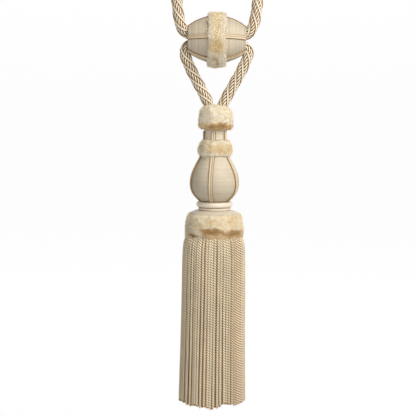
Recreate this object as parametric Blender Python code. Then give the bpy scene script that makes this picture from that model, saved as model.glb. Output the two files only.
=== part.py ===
"""Curtain tieback tassel: a twisted rope loop, a wound slider on the rope, and a tassel that hangs from it.

Metres, +Z up, the front towards -Y. The origin is the point where a wall hook bears on the underside of
the rope loop, and everything hangs below it. Heights are given as drops in millimetres below that point.
"""

import math
import random
from collections import namedtuple

import bmesh
import bpy
from mathutils import Vector, noise

MM = 0.001
GAP = 0.3  # clearance between pieces that touch

# Rope
ROPE_RADIUS = 5.2
ROPE_GROOVE = 0.9  # how deep the valleys between its strands are
ROPE_STRANDS = 4
ROPE_LAY = 60.0  # length of one full turn of the strands
ROPE_STEP = 4.6  # distance between cross-sections
ROPE_POINTS_PER_STRAND = 3

# Slider, a barrel with its axis along X
SLIDER_DROP = 80.0
SLIDER_HALF_LENGTH = 28.7
SLIDER_BORE_RADIUS = 11.0
CROSSING_HALF_LENGTH = 21.6  # the rope's two runs wind half a turn round each other inside the barrel
CROSSING_RADIUS = 5.4
SLIDER_RUFF_HALF_WIDTH = 9.2
SLIDER_RUFF_RADIUS = 27.6
BARREL_RADIUS = 23.2
SLIDER_GIMP_ANGLES = (100.0, 7.5, -55.0, -124.0, -194.0)  # degrees above the front
SLIDER_GIMP_REACH = 28.0
RIM_CLEARANCE_START = 17.6  # from the barrel's middle, where its rims start to be cleared for the rope
RIM_CLEARANCE_HEIGHT = 24.0  # above and below its axis

# Tassel, turned pieces on the Z axis
NECK_RADIUS = 11.3
MOULD_TOP_DROP = 159.9
MOULD_BOTTOM_DROP = 239.4
HEAD_GIMP_TOP_DROP = 160.0
HEAD_GIMP_BOTTOM_DROP = 239.2
HEAD_SOCKET_TOP_DROP = 136.0  # the rope's channels in the head start above its top
RING_LARGE_DROP = 242.6
RING_LARGE_RADIUS = 17.9
RING_LARGE_HALF_HEIGHT = 2.8
RING_SMALL_DROP = 247.0
RING_SMALL_RADIUS = 16.2
RING_SMALL_HALF_HEIGHT = 1.3
RING_FOOT_RADIUS = 14.5  # both rings' flat ends
SHOULDER_RADIUS = 25.3

# Double gimp cord: two thin cords side by side
GIMP_HALF_WIDTH = 2.4
GIMP_HEIGHT = 1.2
GIMP_LIFT = 0.33  # a little over the gap, because a gimp that drifts round the neck has a twisted underside

# Bullion skirt
BAND_TOP_DROP = 255.9
BAND_BOTTOM_DROP = 271.6
BAND_RADIUS = 25.8
SKIRT_DROP = 442.0
SKIRT_END_SPREAD = 2.6  # how much longer or shorter a cord may be
SKIRT_FULLNESS = 0.43  # half a cord's width as a share of the space it has
ROOT_DEPTH = 1.5  # how far a cord goes into the band

TURNED_SIDES = 32

Station = namedtuple("Station", "drop radius")
Section = namedtuple("Section", "along radius")
RoutePoint = namedtuple("RoutePoint", "x y drop")
CordRing = namedtuple("CordRing", "count root_radius inset stations")
GimpRun = namedtuple("GimpRun", "top bottom")

# The rope's half from the tassel head to the top of the loop. The slider's crossing is added by a formula,
# and the other half is this one turned half a turn about the Z axis.
LOWER_ARM = (
    RoutePoint(-5.6, 0.0, 159.5),
    RoutePoint(-5.6, 0.0, 153.5),
    RoutePoint(-6.1, 0.0, 147.2),
    RoutePoint(-8.4, 0.0, 140.6),
    RoutePoint(-13.1, 0.0, 131.6),
    RoutePoint(-18.6, 0.0, 121.6),
    RoutePoint(-24.0, 0.0, 111.6),
    RoutePoint(-28.2, 0.0, 102.8),
    RoutePoint(-30.6, 0.0, 96.2),
    RoutePoint(-31.1, 0.0, 91.4),
    RoutePoint(-29.6, 0.0, 87.8),
    RoutePoint(-26.2, 0.0, 85.8),
)
UPPER_ARM = (
    RoutePoint(26.2, 0.0, 74.9),
    RoutePoint(30.0, 0.0, 73.8),
    RoutePoint(33.2, 0.0, 70.8),
    RoutePoint(35.6, 0.0, 66.2),
    RoutePoint(37.4, 0.0, 60.0),
    RoutePoint(38.7, 0.0, 51.0),
    RoutePoint(39.9, 0.0, 41.0),
    RoutePoint(40.9, 0.0, 30.5),
    RoutePoint(40.1, 0.0, 19.6),
    RoutePoint(35.8, 0.0, 9.4),
    RoutePoint(27.6, 0.0, 1.6),
    RoutePoint(15.3, 0.0, -3.6),
    RoutePoint(0.0, 0.0, -ROPE_RADIUS),
)

# Outlines of the turned pieces, from top to bottom
NECK_OUTLINE = (
    Station(MOULD_TOP_DROP, 10.6),
    Station(161.0, NECK_RADIUS),
    Station(180.0, NECK_RADIUS),
)
BULB_OUTLINE = (
    Station(187.5, 11.9),
    Station(196.2, 15.0),
    Station(204.0, 19.2),
    Station(212.3, 22.8),
    Station(218.5, 24.1),
    Station(223.7, 24.2),
    Station(229.5, 22.8),
    Station(234.2, 19.6),
    Station(238.0, 15.8),
    Station(MOULD_BOTTOM_DROP, 14.2),
)
BARREL_OUTLINE = (
    Section(-SLIDER_HALF_LENGTH, 11.9),
    Section(-27.0, 13.6),
    Section(-20.5, 17.8),
    Section(-10.0, 21.9),
    Section(0.0, BARREL_RADIUS),
    Section(10.0, 21.9),
    Section(20.5, 17.8),
    Section(27.0, 13.6),
    Section(SLIDER_HALF_LENGTH, 11.9),
)

# Cross-sections of the ruffs, closed outlines of a drop and a radius, down the outside and up the inside
HEAD_RUFF_SECTION = (
    Station(144.4, 5.0),
    Station(144.8, 11.2),
    Station(146.4, 14.2),
    Station(149.6, 16.4),
    Station(156.0, 17.8),
    Station(162.0, 18.3),
    Station(167.0, 17.6),
    Station(170.4, 14.6),
    Station(169.8, 13.5),
    Station(159.5, 13.5),
    Station(159.2, 5.0),
)
NECK_RUFF_SECTION = (
    Station(178.3, 13.8),
    Station(180.6, 15.8),
    Station(184.8, 17.8),
    Station(189.2, 18.1),
    Station(193.0, 17.8),
    Station(195.0, 17.2),
    Station(188.5, 14.8),
    Station(184.0, 13.7),
    Station(179.0, 13.5),
)
SKIRT_RUFF_SECTION = (
    Station(251.2, 26.0),
    Station(252.3, 27.1),
    Station(257.0, 28.7),
    Station(265.0, 29.6),
    Station(271.5, 29.5),
    Station(276.0, 28.95),
    Station(275.0, 28.3),
    Station(272.0, 26.5),
    Station(262.0, 26.4),
)
SHOULDER_OUTLINE = (
    Station(248.6, 15.2),
    Station(249.3, 18.8),
    Station(250.4, 22.4),
    Station(251.8, 24.5),
    Station(253.6, SHOULDER_RADIUS),
    Station(255.6, SHOULDER_RADIUS),
)

# Bullion cords: rings from the outside in, with the cord's distance from the axis as it hangs
OUTER_HANG = (
    Station(271.8, 24.1),
    Station(278.5, 28.6),
    Station(286.0, 30.1),
    Station(341.0, 30.5),
    Station(392.0, 31.2),
    Station(SKIRT_DROP, 32.2),
)
INNER_HANG = (
    Station(271.8, 24.1),
    Station(286.0, 29.9),
    Station(SKIRT_DROP, 32.2),
)
CORD_RINGS = (
    CordRing(62, 24.1, 0.0, OUTER_HANG),
    CordRing(52, 20.8, 3.4, INNER_HANG),
    CordRing(42, 17.6, 6.8, INNER_HANG),
)

# The head's gimps, in degrees to the right of the front; the one at the right drifts outwards
HEAD_GIMPS = (
    GimpRun(-75.0, -75.0),
    GimpRun(-10.5, -10.5),
    GimpRun(57.0, 62.0),
    GimpRun(131.0, 131.0),
    GimpRun(208.0, 208.0),
)

CREAM_YARN = ("cream_yarn", (0.62, 0.53, 0.39), 0.75)
CREAM_SATIN = ("cream_satin", (0.80, 0.75, 0.64), 0.35)
CREAM_PILE = ("cream_pile", (0.74, 0.62, 0.43), 0.9)
GIMP_YARN = ("gimp_yarn", (0.66, 0.54, 0.36), 0.6)
ROPE_YARN = ("rope_yarn", (0.72, 0.60, 0.42), 0.55)
SKIRT_YARN = ("skirt_yarn", (0.66, 0.54, 0.36), 0.55)


def material(finish):
    """The Principled material of a finish: its name, base colour and roughness."""
    name, colour, roughness = finish
    found = bpy.data.materials.get(name)
    if found:
        return found
    made = bpy.data.materials.new(name)
    made.use_nodes = True
    shader = made.node_tree.nodes["Principled BSDF"]
    shader.inputs["Base Color"].default_value = (*colour, 1.0)
    shader.inputs["Roughness"].default_value = roughness
    shader.inputs["Metallic"].default_value = 0.0
    return made


def new_object(name, bm, finish, smooth=True):
    """An object from a bmesh in millimetres."""
    bmesh.ops.recalc_face_normals(bm, faces=bm.faces)
    bmesh.ops.scale(bm, vec=(MM, MM, MM), verts=bm.verts)
    mesh = bpy.data.meshes.new(name)
    bm.to_mesh(mesh)
    bm.free()
    if smooth:
        mesh.shade_smooth()
        mesh.set_sharp_from_angle(angle=math.radians(50))
    mesh.materials.append(material(finish))
    obj = bpy.data.objects.new(name, mesh)
    bpy.context.scene.collection.objects.link(obj)
    return obj


def as_helper(obj):
    """Marks an object as a cutter, which isn't a piece of the tassel."""
    obj.hide_render = True
    obj.display_type = "WIRE"
    return obj


def boolean(obj, helper, operation):
    """Adds a Boolean modifier that cuts obj with helper, or joins helper to it."""
    modifier = obj.modifiers.new(helper.name, "BOOLEAN")
    modifier.operation = operation
    modifier.solver = "EXACT"
    modifier.object = helper


def smooth_through(points, step):
    """Points about step apart on a Catmull-Rom curve through the given points."""
    ends = (2 * points[0] - points[1], 2 * points[-1] - points[-2])
    known = [ends[0], *points, ends[1]]
    made = [points[0]]
    for before, start, end, after in zip(known, known[1:], known[2:], known[3:]):
        pieces = max(1, round((end - start).length / step))
        for k in range(1, pieces + 1):
            t = k / pieces
            made.append(
                0.5
                * (
                    2 * start
                    + (end - before) * t
                    + (2 * before - 5 * start + 4 * end - after) * t**2
                    + (3 * start - before - 3 * end + after) * t**3
                )
            )
    return made


def directions(path):
    """The unit direction of a path at each of its points."""
    return [
        (path[min(i + 1, len(path) - 1)] - path[max(i - 1, 0)]).normalized()
        for i in range(len(path))
    ]


def loft(name, rings, finish):
    """A closed solid through rings of as many points each, capped at both ends."""
    bm = bmesh.new()
    made = [[bm.verts.new(point) for point in ring] for ring in rings]
    for lower, upper in zip(made, made[1:]):
        for k in range(len(lower)):
            after = (k + 1) % len(lower)
            bm.faces.new((lower[k], lower[after], upper[after], upper[k]))
    bm.faces.new(made[0])
    bm.faces.new(made[-1])
    return new_object(name, bm, finish)


def turned(name, outline, finish):
    """A solid of revolution about the Z axis from an open outline, closed flat at its top and bottom."""
    points = [(0.0, outline[0].drop), *((s.radius, s.drop) for s in outline), (0.0, outline[-1].drop)]
    bm = bmesh.new()
    verts = [bm.verts.new((radius, 0.0, -drop)) for radius, drop in points]
    edges = [bm.edges.new(pair) for pair in zip(verts, verts[1:])]
    bmesh.ops.spin(
        bm,
        geom=verts + edges,
        cent=(0.0, 0.0, 0.0),
        axis=(0.0, 0.0, 1.0),
        angle=math.tau,
        steps=TURNED_SIDES,
        use_merge=True,
    )
    bmesh.ops.remove_doubles(bm, verts=bm.verts, dist=0.001)
    return new_object(name, bm, finish)


def lump(angle, along, seed):
    """An uneven swelling of a pile ruff, up to about half a millimetre either way."""
    return 0.8 * noise.noise(
        Vector((2.4 * math.cos(angle), 2.4 * math.sin(angle), 0.35 * along + 10.0 * seed))
    )


def ruff(name, section, place, seed):
    """A lumpy ring of cut pile from a closed section; place puts an angle, radius and drop into space."""
    bm = bmesh.new()
    middle = sum(s.radius for s in section) / len(section)
    rows = []
    for k in range(TURNED_SIDES):
        angle = math.tau * k / TURNED_SIDES
        row = []
        for s in section:
            swell = lump(angle, s.drop, seed) if s.radius > middle else 0.0
            row.append(bm.verts.new(place(angle, s.radius + swell, s.drop)))
        rows.append(row)
    for row, after in zip(rows, rows[1:] + rows[:1]):
        for k in range(len(section)):
            nxt = (k + 1) % len(section)
            bm.faces.new((row[k], after[k], after[nxt], row[nxt]))
    return new_object(name, bm, CREAM_PILE)


def on_tassel(angle, radius, drop):
    """A point on the tassel, its angle measured to the right of the front."""
    return Vector((radius * math.sin(angle), -radius * math.cos(angle), -drop))


def on_slider(angle, radius, along):
    """A point on the slider, its angle measured up from the front."""
    return Vector((along, -radius * math.cos(angle), -SLIDER_DROP + radius * math.sin(angle)))


def crossing():
    """The rope's way through the slider, half a turn round its other run, from lower left to upper right."""
    made = []
    for share in (-1.0, -0.5, 0.0, 0.5, 1.0):
        angle = share * math.pi / 2
        made.append(
            RoutePoint(
                share * CROSSING_HALF_LENGTH,
                CROSSING_RADIUS * math.cos(angle),
                SLIDER_DROP - CROSSING_RADIUS * math.sin(angle),
            )
        )
    return made


def rope_route():
    """The rope's centre line from its left end in the head, round the loop, to its right end."""
    half = [Vector((p.x, p.y, -p.drop)) for p in (*LOWER_ARM, *crossing(), *UPPER_ARM)]
    other = [Vector((-p.x, -p.y, p.z)) for p in reversed(half[:-1])]
    return smooth_through(half + other, ROPE_STEP)


def rope_section(turn):
    """A lobed section of the rope in its own plane, turned by an angle."""
    count = ROPE_STRANDS * ROPE_POINTS_PER_STRAND
    made = []
    for k in range(count):
        angle = math.tau * k / count
        radius = ROPE_RADIUS - ROPE_GROOVE * (1 - math.cos(ROPE_STRANDS * angle)) / 2
        made.append((radius * math.cos(angle + turn), radius * math.sin(angle + turn)))
    return made


def build_rope(route):
    """The rope, its strands laid left-handed along the route."""
    rings = []
    travelled = 0.0
    side = Vector((0.0, 1.0, 0.0))
    for i, (point, ahead) in enumerate(zip(route, directions(route))):
        if i:
            travelled += (point - route[i - 1]).length
        side = (side - side.dot(ahead) * ahead).normalized()
        across = ahead.cross(side)
        turn = -math.tau * travelled / ROPE_LAY
        rings.append([point + u * side + v * across for u, v in rope_section(turn)])
    return loft("rope", rings, ROPE_YARN)


def rope_channel(name, route):
    """A cutter that clears the rope's way through a piece."""
    sides = 12
    radius = (ROPE_RADIUS + GAP) / math.cos(math.pi / sides)
    rings = []
    for point, ahead in zip(route, directions(route)):
        side = Vector((0.0, 1.0, 0.0))
        side = (side - side.dot(ahead) * ahead).normalized()
        across = ahead.cross(side)
        rings.append(
            [
                point + radius * (math.cos(a) * side + math.sin(a) * across)
                for a in (math.tau * k / sides for k in range(sides))
            ]
        )
    return as_helper(loft(name, rings, ROPE_YARN))


def stretch_of(route, keep):
    """The runs of the route's points for which keep is true, one list for each unbroken run."""
    runs = [[]]
    for point in route:
        if keep(point):
            runs[-1].append(point)
        elif runs[-1]:
            runs.append([])
    return [run for run in runs if len(run) > 1]


def smoothed(outline, step):
    """An outline with rounded stretches between its points."""
    kind = type(outline[0])
    points = smooth_through([Vector((a, r, 0.0)) for a, r in outline], step)
    return tuple(kind(p.x, p.y) for p in points)


def build_barrel(outline, route):
    """The slider's barrel, bored along X and cleared where the rope bends round its rims."""
    bm = bmesh.new()
    rows = []
    for section in outline:
        rows.append(
            [
                bm.verts.new(on_slider(math.tau * k / TURNED_SIDES, section.radius, section.along))
                for k in range(TURNED_SIDES)
            ]
        )
    for row, after in zip(rows, rows[1:]):
        for k in range(TURNED_SIDES):
            nxt = (k + 1) % TURNED_SIDES
            bm.faces.new((row[k], row[nxt], after[nxt], after[k]))
    bm.faces.new(rows[0])
    bm.faces.new(rows[-1])
    barrel = new_object("slider_barrel", bm, CREAM_YARN)

    ends = (-SLIDER_HALF_LENGTH - 5.0, SLIDER_HALF_LENGTH + 5.0)
    bore_rings = [
        [on_slider(math.tau * k / TURNED_SIDES, SLIDER_BORE_RADIUS, x) for k in range(TURNED_SIDES)]
        for x in ends
    ]
    boolean(barrel, as_helper(loft("slider_bore_cutter", bore_rings, CREAM_YARN)), "DIFFERENCE")

    def near_rim(point):
        return abs(point.x) > RIM_CLEARANCE_START and abs(point.z + SLIDER_DROP) < RIM_CLEARANCE_HEIGHT

    for number, run in enumerate(stretch_of(route, near_rim), 1):
        boolean(barrel, rope_channel(f"slider_rope_cutter_{number}", run), "DIFFERENCE")
    return barrel


def gimp_section():
    """The double cord's section: across and up from the surface that it lies on."""
    w, h = GIMP_HALF_WIDTH, GIMP_HEIGHT
    return ((-w, 0.0), (-w, 0.55 * h), (-0.5 * w, h), (0.0, 0.55 * h), (0.5 * w, h), (w, 0.55 * h), (w, 0.0))


def build_gimp(name, spine, outward):
    """A double gimp cord along a spine that lies on a surface, whose outward directions are given."""
    rings = []
    for point, ahead, out in zip(spine, directions(spine), outward):
        up = (out - out.dot(ahead) * ahead).normalized()
        across = ahead.cross(up)
        rings.append([point + u * across + v * up for u, v in gimp_section()])
    return loft(name, rings, GIMP_YARN)


def lifts(outline):
    """How far off its radius a gimp lies at each point of an outline, to clear the slopes by the gap too."""
    slopes = [abs((b[1] - a[1]) / (b[0] - a[0])) for a, b in zip(outline, outline[1:])]
    steepest = [max(pair) for pair in zip([0.0, *slopes], [*slopes, 0.0])]
    return [GIMP_LIFT * math.hypot(1.0, slope) for slope in steepest]


def build_slider_gimps(outline):
    """Five double cords along the barrel, from rim to rim under the ruff."""
    covered = [s for s in outline if abs(s.along) < SLIDER_GIMP_REACH]
    for number, degrees in enumerate(SLIDER_GIMP_ANGLES, 1):
        angle = math.radians(degrees)
        spine = [on_slider(angle, s.radius + lift, s.along) for s, lift in zip(covered, lifts(covered))]
        out = on_slider(angle, 1.0, 0.0) - on_slider(angle, 0.0, 0.0)
        build_gimp(f"slider_gimp_{number}", spine, [out] * len(spine))


def build_mould_gimps(outline):
    """Five double cords from the top of the neck, down over the bulb, to the rings."""
    height = HEAD_GIMP_BOTTOM_DROP - HEAD_GIMP_TOP_DROP
    covered = [s for s in outline if HEAD_GIMP_TOP_DROP < s.drop < HEAD_GIMP_BOTTOM_DROP]
    for number, run in enumerate(HEAD_GIMPS, 1):
        spine = []
        outward = []
        for station, lift in zip(covered, lifts(covered)):
            share = (station.drop - HEAD_GIMP_TOP_DROP) / height
            angle = math.radians(run.top + share * (run.bottom - run.top))
            spine.append(on_tassel(angle, station.radius + lift, station.drop))
            outward.append(on_tassel(angle, 1.0, 0.0))
        build_gimp(f"mould_gimp_{number}", spine, outward)


def build_slider_ruff():
    """The pile ruff round the barrel's middle, clear of the gimps."""
    flats = BARREL_RADIUS + GIMP_HEIGHT + 2 * GAP + 0.1  # its flat sides are nearer than its corners
    inner = flats / math.cos(math.pi / TURNED_SIDES)
    half, outer = SLIDER_RUFF_HALF_WIDTH, SLIDER_RUFF_RADIUS
    section = (
        Station(-half + 1.2, inner),
        Station(-half + 0.2, inner + 0.3),
        Station(-half, outer - 1.6),
        Station(-half + 2.0, outer - 0.2),
        Station(0.0, outer + 0.2),
        Station(half - 2.0, outer - 0.2),
        Station(half, outer - 1.6),
        Station(half - 0.2, inner + 0.3),
        Station(half - 1.2, inner),
    )
    return ruff("slider_ruff", section, on_slider, 1)


def build_head_ruff(route):
    """The domed pile ruff on the neck, with the two sockets that the rope's ends go into."""
    obj = ruff("head_ruff", HEAD_RUFF_SECTION, on_tassel, 2)
    for number, run in enumerate(stretch_of(route, lambda p: -p.z > HEAD_SOCKET_TOP_DROP), 1):
        boolean(obj, rope_channel(f"head_rope_cutter_{number}", run), "DIFFERENCE")
    return obj


def build_rings():
    """The two satin-wound rings under the bulb."""
    rings = (
        ("ring_large", RING_LARGE_DROP, RING_LARGE_RADIUS, RING_LARGE_HALF_HEIGHT),
        ("ring_small", RING_SMALL_DROP, RING_SMALL_RADIUS, RING_SMALL_HALF_HEIGHT),
    )
    for name, drop, radius, half in rings:
        bulge = radius - RING_FOOT_RADIUS
        outline = []
        for degrees in range(-90, 91, 30):
            angle = math.radians(degrees)
            outline.append(Station(drop + half * math.sin(angle), RING_FOOT_RADIUS + bulge * math.cos(angle)))
        turned(name, outline, CREAM_SATIN)


def cord_solid(bm, angle, ring, end_drop, push):
    """Adds one four-sided bullion cord to the bmesh, from its root in the band to its free end."""
    width = math.tau * SKIRT_FULLNESS / ring.count
    start = ring.stations[0]
    stations = [Station(start.drop - ROOT_DEPTH, ring.root_radius), Station(start.drop, ring.root_radius)]
    for s in ring.stations[1:]:
        stations.append(Station(s.drop, s.radius - ring.inset))
    stations[-1] = Station(end_drop, stations[-1].radius)
    loops = []
    for s in stations:
        fall = max(0.0, (s.drop - BAND_BOTTOM_DROP) / (SKIRT_DROP - BAND_BOTTOM_DROP))
        radius = s.radius + push * fall
        half = min(width * s.radius, 1.45)
        corners = ((-half, 0.0), (0.0, half), (half, 0.0), (0.0, -half))
        loops.append(
            [bm.verts.new(on_tassel(angle + u / radius, radius + v, s.drop)) for u, v in corners]
        )
    for upper, lower in zip(loops, loops[1:]):
        for k in range(4):
            nxt = (k + 1) % 4
            bm.faces.new((upper[k], upper[nxt], lower[nxt], lower[k]))
    bm.faces.new(loops[0])
    bm.faces.new(loops[-1])


def build_skirt():
    """The bullion skirt: a band and three rings of cords that hang apart below it."""
    outline = (Station(BAND_TOP_DROP, BAND_RADIUS), Station(BAND_BOTTOM_DROP, BAND_RADIUS))
    skirt = turned("skirt", outline, SKIRT_YARN)
    chance = random.Random(7)
    bm = bmesh.new()
    for layer, ring in enumerate(CORD_RINGS):
        for k in range(ring.count):
            angle = math.tau * (k + 0.5 * (layer % 2)) / ring.count
            push = 0.8 * noise.noise(Vector((3.0 * math.cos(angle), 3.0 * math.sin(angle), 5.0 * layer)))
            end_drop = SKIRT_DROP + chance.uniform(-SKIRT_END_SPREAD, SKIRT_END_SPREAD)
            cord_solid(bm, angle, ring, end_drop, push)
    cords = as_helper(new_object("skirt_cords_helper", bm, SKIRT_YARN))
    boolean(skirt, cords, "UNION")
    return skirt


def clear_scene():
    """Removes what the file opened with."""
    for obj in list(bpy.data.objects):
        bpy.data.objects.remove(obj)


def main():
    clear_scene()
    route = rope_route()
    build_rope(route)

    barrel_outline = smoothed(BARREL_OUTLINE, 6.0)
    build_barrel(barrel_outline, route)
    build_slider_gimps(barrel_outline)
    build_slider_ruff()

    mould_outline = NECK_OUTLINE + smoothed(BULB_OUTLINE, 7.0)
    turned("mould", mould_outline, CREAM_YARN)
    build_mould_gimps(mould_outline)
    build_head_ruff(route)
    ruff("neck_ruff", NECK_RUFF_SECTION, on_tassel, 3)
    build_rings()
    turned("shoulder", SHOULDER_OUTLINE, CREAM_SATIN)
    ruff("skirt_ruff", SKIRT_RUFF_SECTION, on_tassel, 4)
    build_skirt()


main()
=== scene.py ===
"""Curtain tieback tassel, dressed: a rope loop, a wound slider on it and a tassel with a bullion skirt.

Metres, +Z up, the front towards -Y. Heights are drops below the point where the wall hook bears on the loop.
"""

import logging
import math
import random
from dataclasses import dataclass, field
from enum import Enum

import bpy
import numpy as np
from mathutils import Matrix, Vector, noise


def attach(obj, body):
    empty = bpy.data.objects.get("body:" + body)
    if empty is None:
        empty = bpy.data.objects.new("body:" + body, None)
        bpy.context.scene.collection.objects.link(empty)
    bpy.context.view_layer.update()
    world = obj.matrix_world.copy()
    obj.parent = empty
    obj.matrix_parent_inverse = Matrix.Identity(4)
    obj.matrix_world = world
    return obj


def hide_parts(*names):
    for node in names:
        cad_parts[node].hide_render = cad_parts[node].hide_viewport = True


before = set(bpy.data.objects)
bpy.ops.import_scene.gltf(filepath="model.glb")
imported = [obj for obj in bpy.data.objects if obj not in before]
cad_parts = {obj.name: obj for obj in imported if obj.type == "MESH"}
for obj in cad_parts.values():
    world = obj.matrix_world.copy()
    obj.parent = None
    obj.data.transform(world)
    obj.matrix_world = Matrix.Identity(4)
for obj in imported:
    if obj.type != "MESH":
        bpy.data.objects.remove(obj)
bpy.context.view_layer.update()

LOG = logging.getLogger("tassel")
MM = 0.001
Colour = tuple[float, float, float]
Outline = list[tuple[float, float]]
Table = tuple[tuple[float, float], ...]
Socket = bpy.types.NodeSocket


def srgb(red: int, green: int, blue: int) -> Colour:
    """A linear colour from screen values of 0 to 255."""

    def linear(value: int) -> float:
        """One channel, linear."""
        share = value / 255
        return share / 12.92 if share <= 0.04045 else ((share + 0.055) / 1.055) ** 2.4

    return linear(red), linear(green), linear(blue)


def at_drop(x: float, y: float, drop: float) -> Vector:
    """A point in metres from millimetres across, back and below the hook."""
    return Vector((x, y, -drop)) * MM


class Axis(Enum):
    """The axis that a turned piece is turned about."""

    TASSEL = "Z"
    SLIDER = "X"


class Role(Enum):
    """How closely a ring of the skirt's cords is seen."""

    FRONT = "front"
    BEHIND = "behind"
    INNERMOST = "innermost"


# Shared dimensions, in millimetres
SLIDER_DROP = 80.0
SLIDER_HALF_LENGTH = 28.7
THREAD_PITCH = 0.6


# ---------------------------------------------------------------------------------------------------------
# Nodes


class Draft:
    """Adds nodes to a tree and links them as it goes."""

    def __init__(self, tree: bpy.types.NodeTree) -> None:
        """Starts on an empty tree.

        Args:
            tree: the material's or the group's node tree.
        """
        self.tree = tree
        tree.nodes.clear()

    def add(self, kind: str, inputs: dict | None = None, **settings: object) -> bpy.types.Node:
        """Adds one node.

        Args:
            kind: the node's type name.
            inputs: socket names or numbers, each with a value or with the socket that feeds it.
            settings: the node's own properties.

        Returns:
            The new node.
        """
        node = self.tree.nodes.new(kind)
        for key, value in settings.items():
            setattr(node, key, value)
        self.feed(node, inputs or {})
        return node

    def feed(self, node: bpy.types.Node, inputs: dict) -> None:
        """Sets a node's inputs, or links them to the sockets that feed them."""
        for key, value in inputs.items():
            if isinstance(value, Socket):
                self.tree.links.new(value, node.inputs[key])
            else:
                node.inputs[key].default_value = value

    def vector(self, operation: str, *values: tuple | Socket) -> bpy.types.Node:
        """A Vector Math node on one to three values."""
        return self.add("ShaderNodeVectorMath", dict(enumerate(values)), operation=operation)

    def attribute(self, name: str) -> Socket:
        """The value that a mesh keeps under a name."""
        return self.add("ShaderNodeAttribute", attribute_name=name).outputs["Fac"]

    def place(self) -> Socket:
        """The place in the part's frame, in metres."""
        return self.add("ShaderNodeTexCoord").outputs["Object"]

    def route(self) -> Socket:
        """How far along and round a yarn a place is."""
        return self.add("ShaderNodeUVMap", uv_map="UVMap").outputs["UV"]

    def math(self, operation: str, *values: float | Socket, clamp: bool = False) -> Socket:
        """The result of a Math node on one to three values."""
        node = self.add("ShaderNodeMath", dict(enumerate(values)), operation=operation, use_clamp=clamp)
        return node.outputs[0]

    def ramp(
        self, value: Socket, low: float, high: float, to_low: float = 0.0, to_high: float = 1.0
    ) -> Socket:
        """A smooth step of a value between two limits."""
        node = self.add(
            "ShaderNodeMapRange",
            {"Value": value, "From Min": low, "From Max": high, "To Min": to_low, "To Max": to_high},
            interpolation_type="SMOOTHSTEP",
        )
        return node.outputs["Result"]

    def mix(self, share: float | Socket, first: Colour | Socket, second: Colour | Socket) -> Socket:
        """A mix of two colours."""
        first, second = (end if isinstance(end, Socket) else (*end, 1.0) for end in (first, second))
        return self.add("ShaderNodeMix", {0: share, 6: first, 7: second}, data_type="RGBA").outputs[2]

    def scaled(self, colour: Socket, share: Socket) -> Socket:
        """A colour made darker or lighter by a factor."""
        return self.add("ShaderNodeVectorMath", {0: colour, "Scale": share}, operation="SCALE").outputs[0]

    def noise(
        self, place: Socket, scale: float | Socket, detail: float = 2.0, roughness: float = 0.5
    ) -> Socket:
        """Noise of 0 to 1 at a place."""
        inputs = {"Vector": place, "Scale": scale, "Detail": detail, "Roughness": roughness}
        return self.add("ShaderNodeTexNoise", inputs).outputs["Fac"]

    def group(self, tree: bpy.types.NodeTree, inputs: dict) -> bpy.types.Node:
        """Adds a node group.

        Args:
            tree: the group's tree.
            inputs: socket names, each with a value or with the socket that feeds it.

        Returns:
            The group's node.
        """
        return self.add("ShaderNodeGroup", inputs, node_tree=tree)

    def stretched(self, place: Socket, factors: tuple[float, float, float]) -> Socket:
        """A place scaled apart along each axis."""
        return self.vector("MULTIPLY", place, factors).outputs[0]


def start_group(
    name: str, inputs: dict[str, str], outputs: dict[str, str]
) -> tuple[Draft, dict[str, Socket]]:
    """Begins a shader node group.

    Args:
        name: the group's name.
        inputs: input names with their socket kinds.
        outputs: output names with their socket kinds.

    Returns:
        The draft to build in, and the input sockets by name.
    """
    tree = bpy.data.node_groups.new(name, "ShaderNodeTree")
    for label, kind in inputs.items():
        tree.interface.new_socket(label, in_out="INPUT", socket_type=kind)
    for label, kind in outputs.items():
        tree.interface.new_socket(label, in_out="OUTPUT", socket_type=kind)
    draft = Draft(tree)
    entry = draft.add("NodeGroupInput")
    return draft, {label: entry.outputs[label] for label in inputs}


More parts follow.
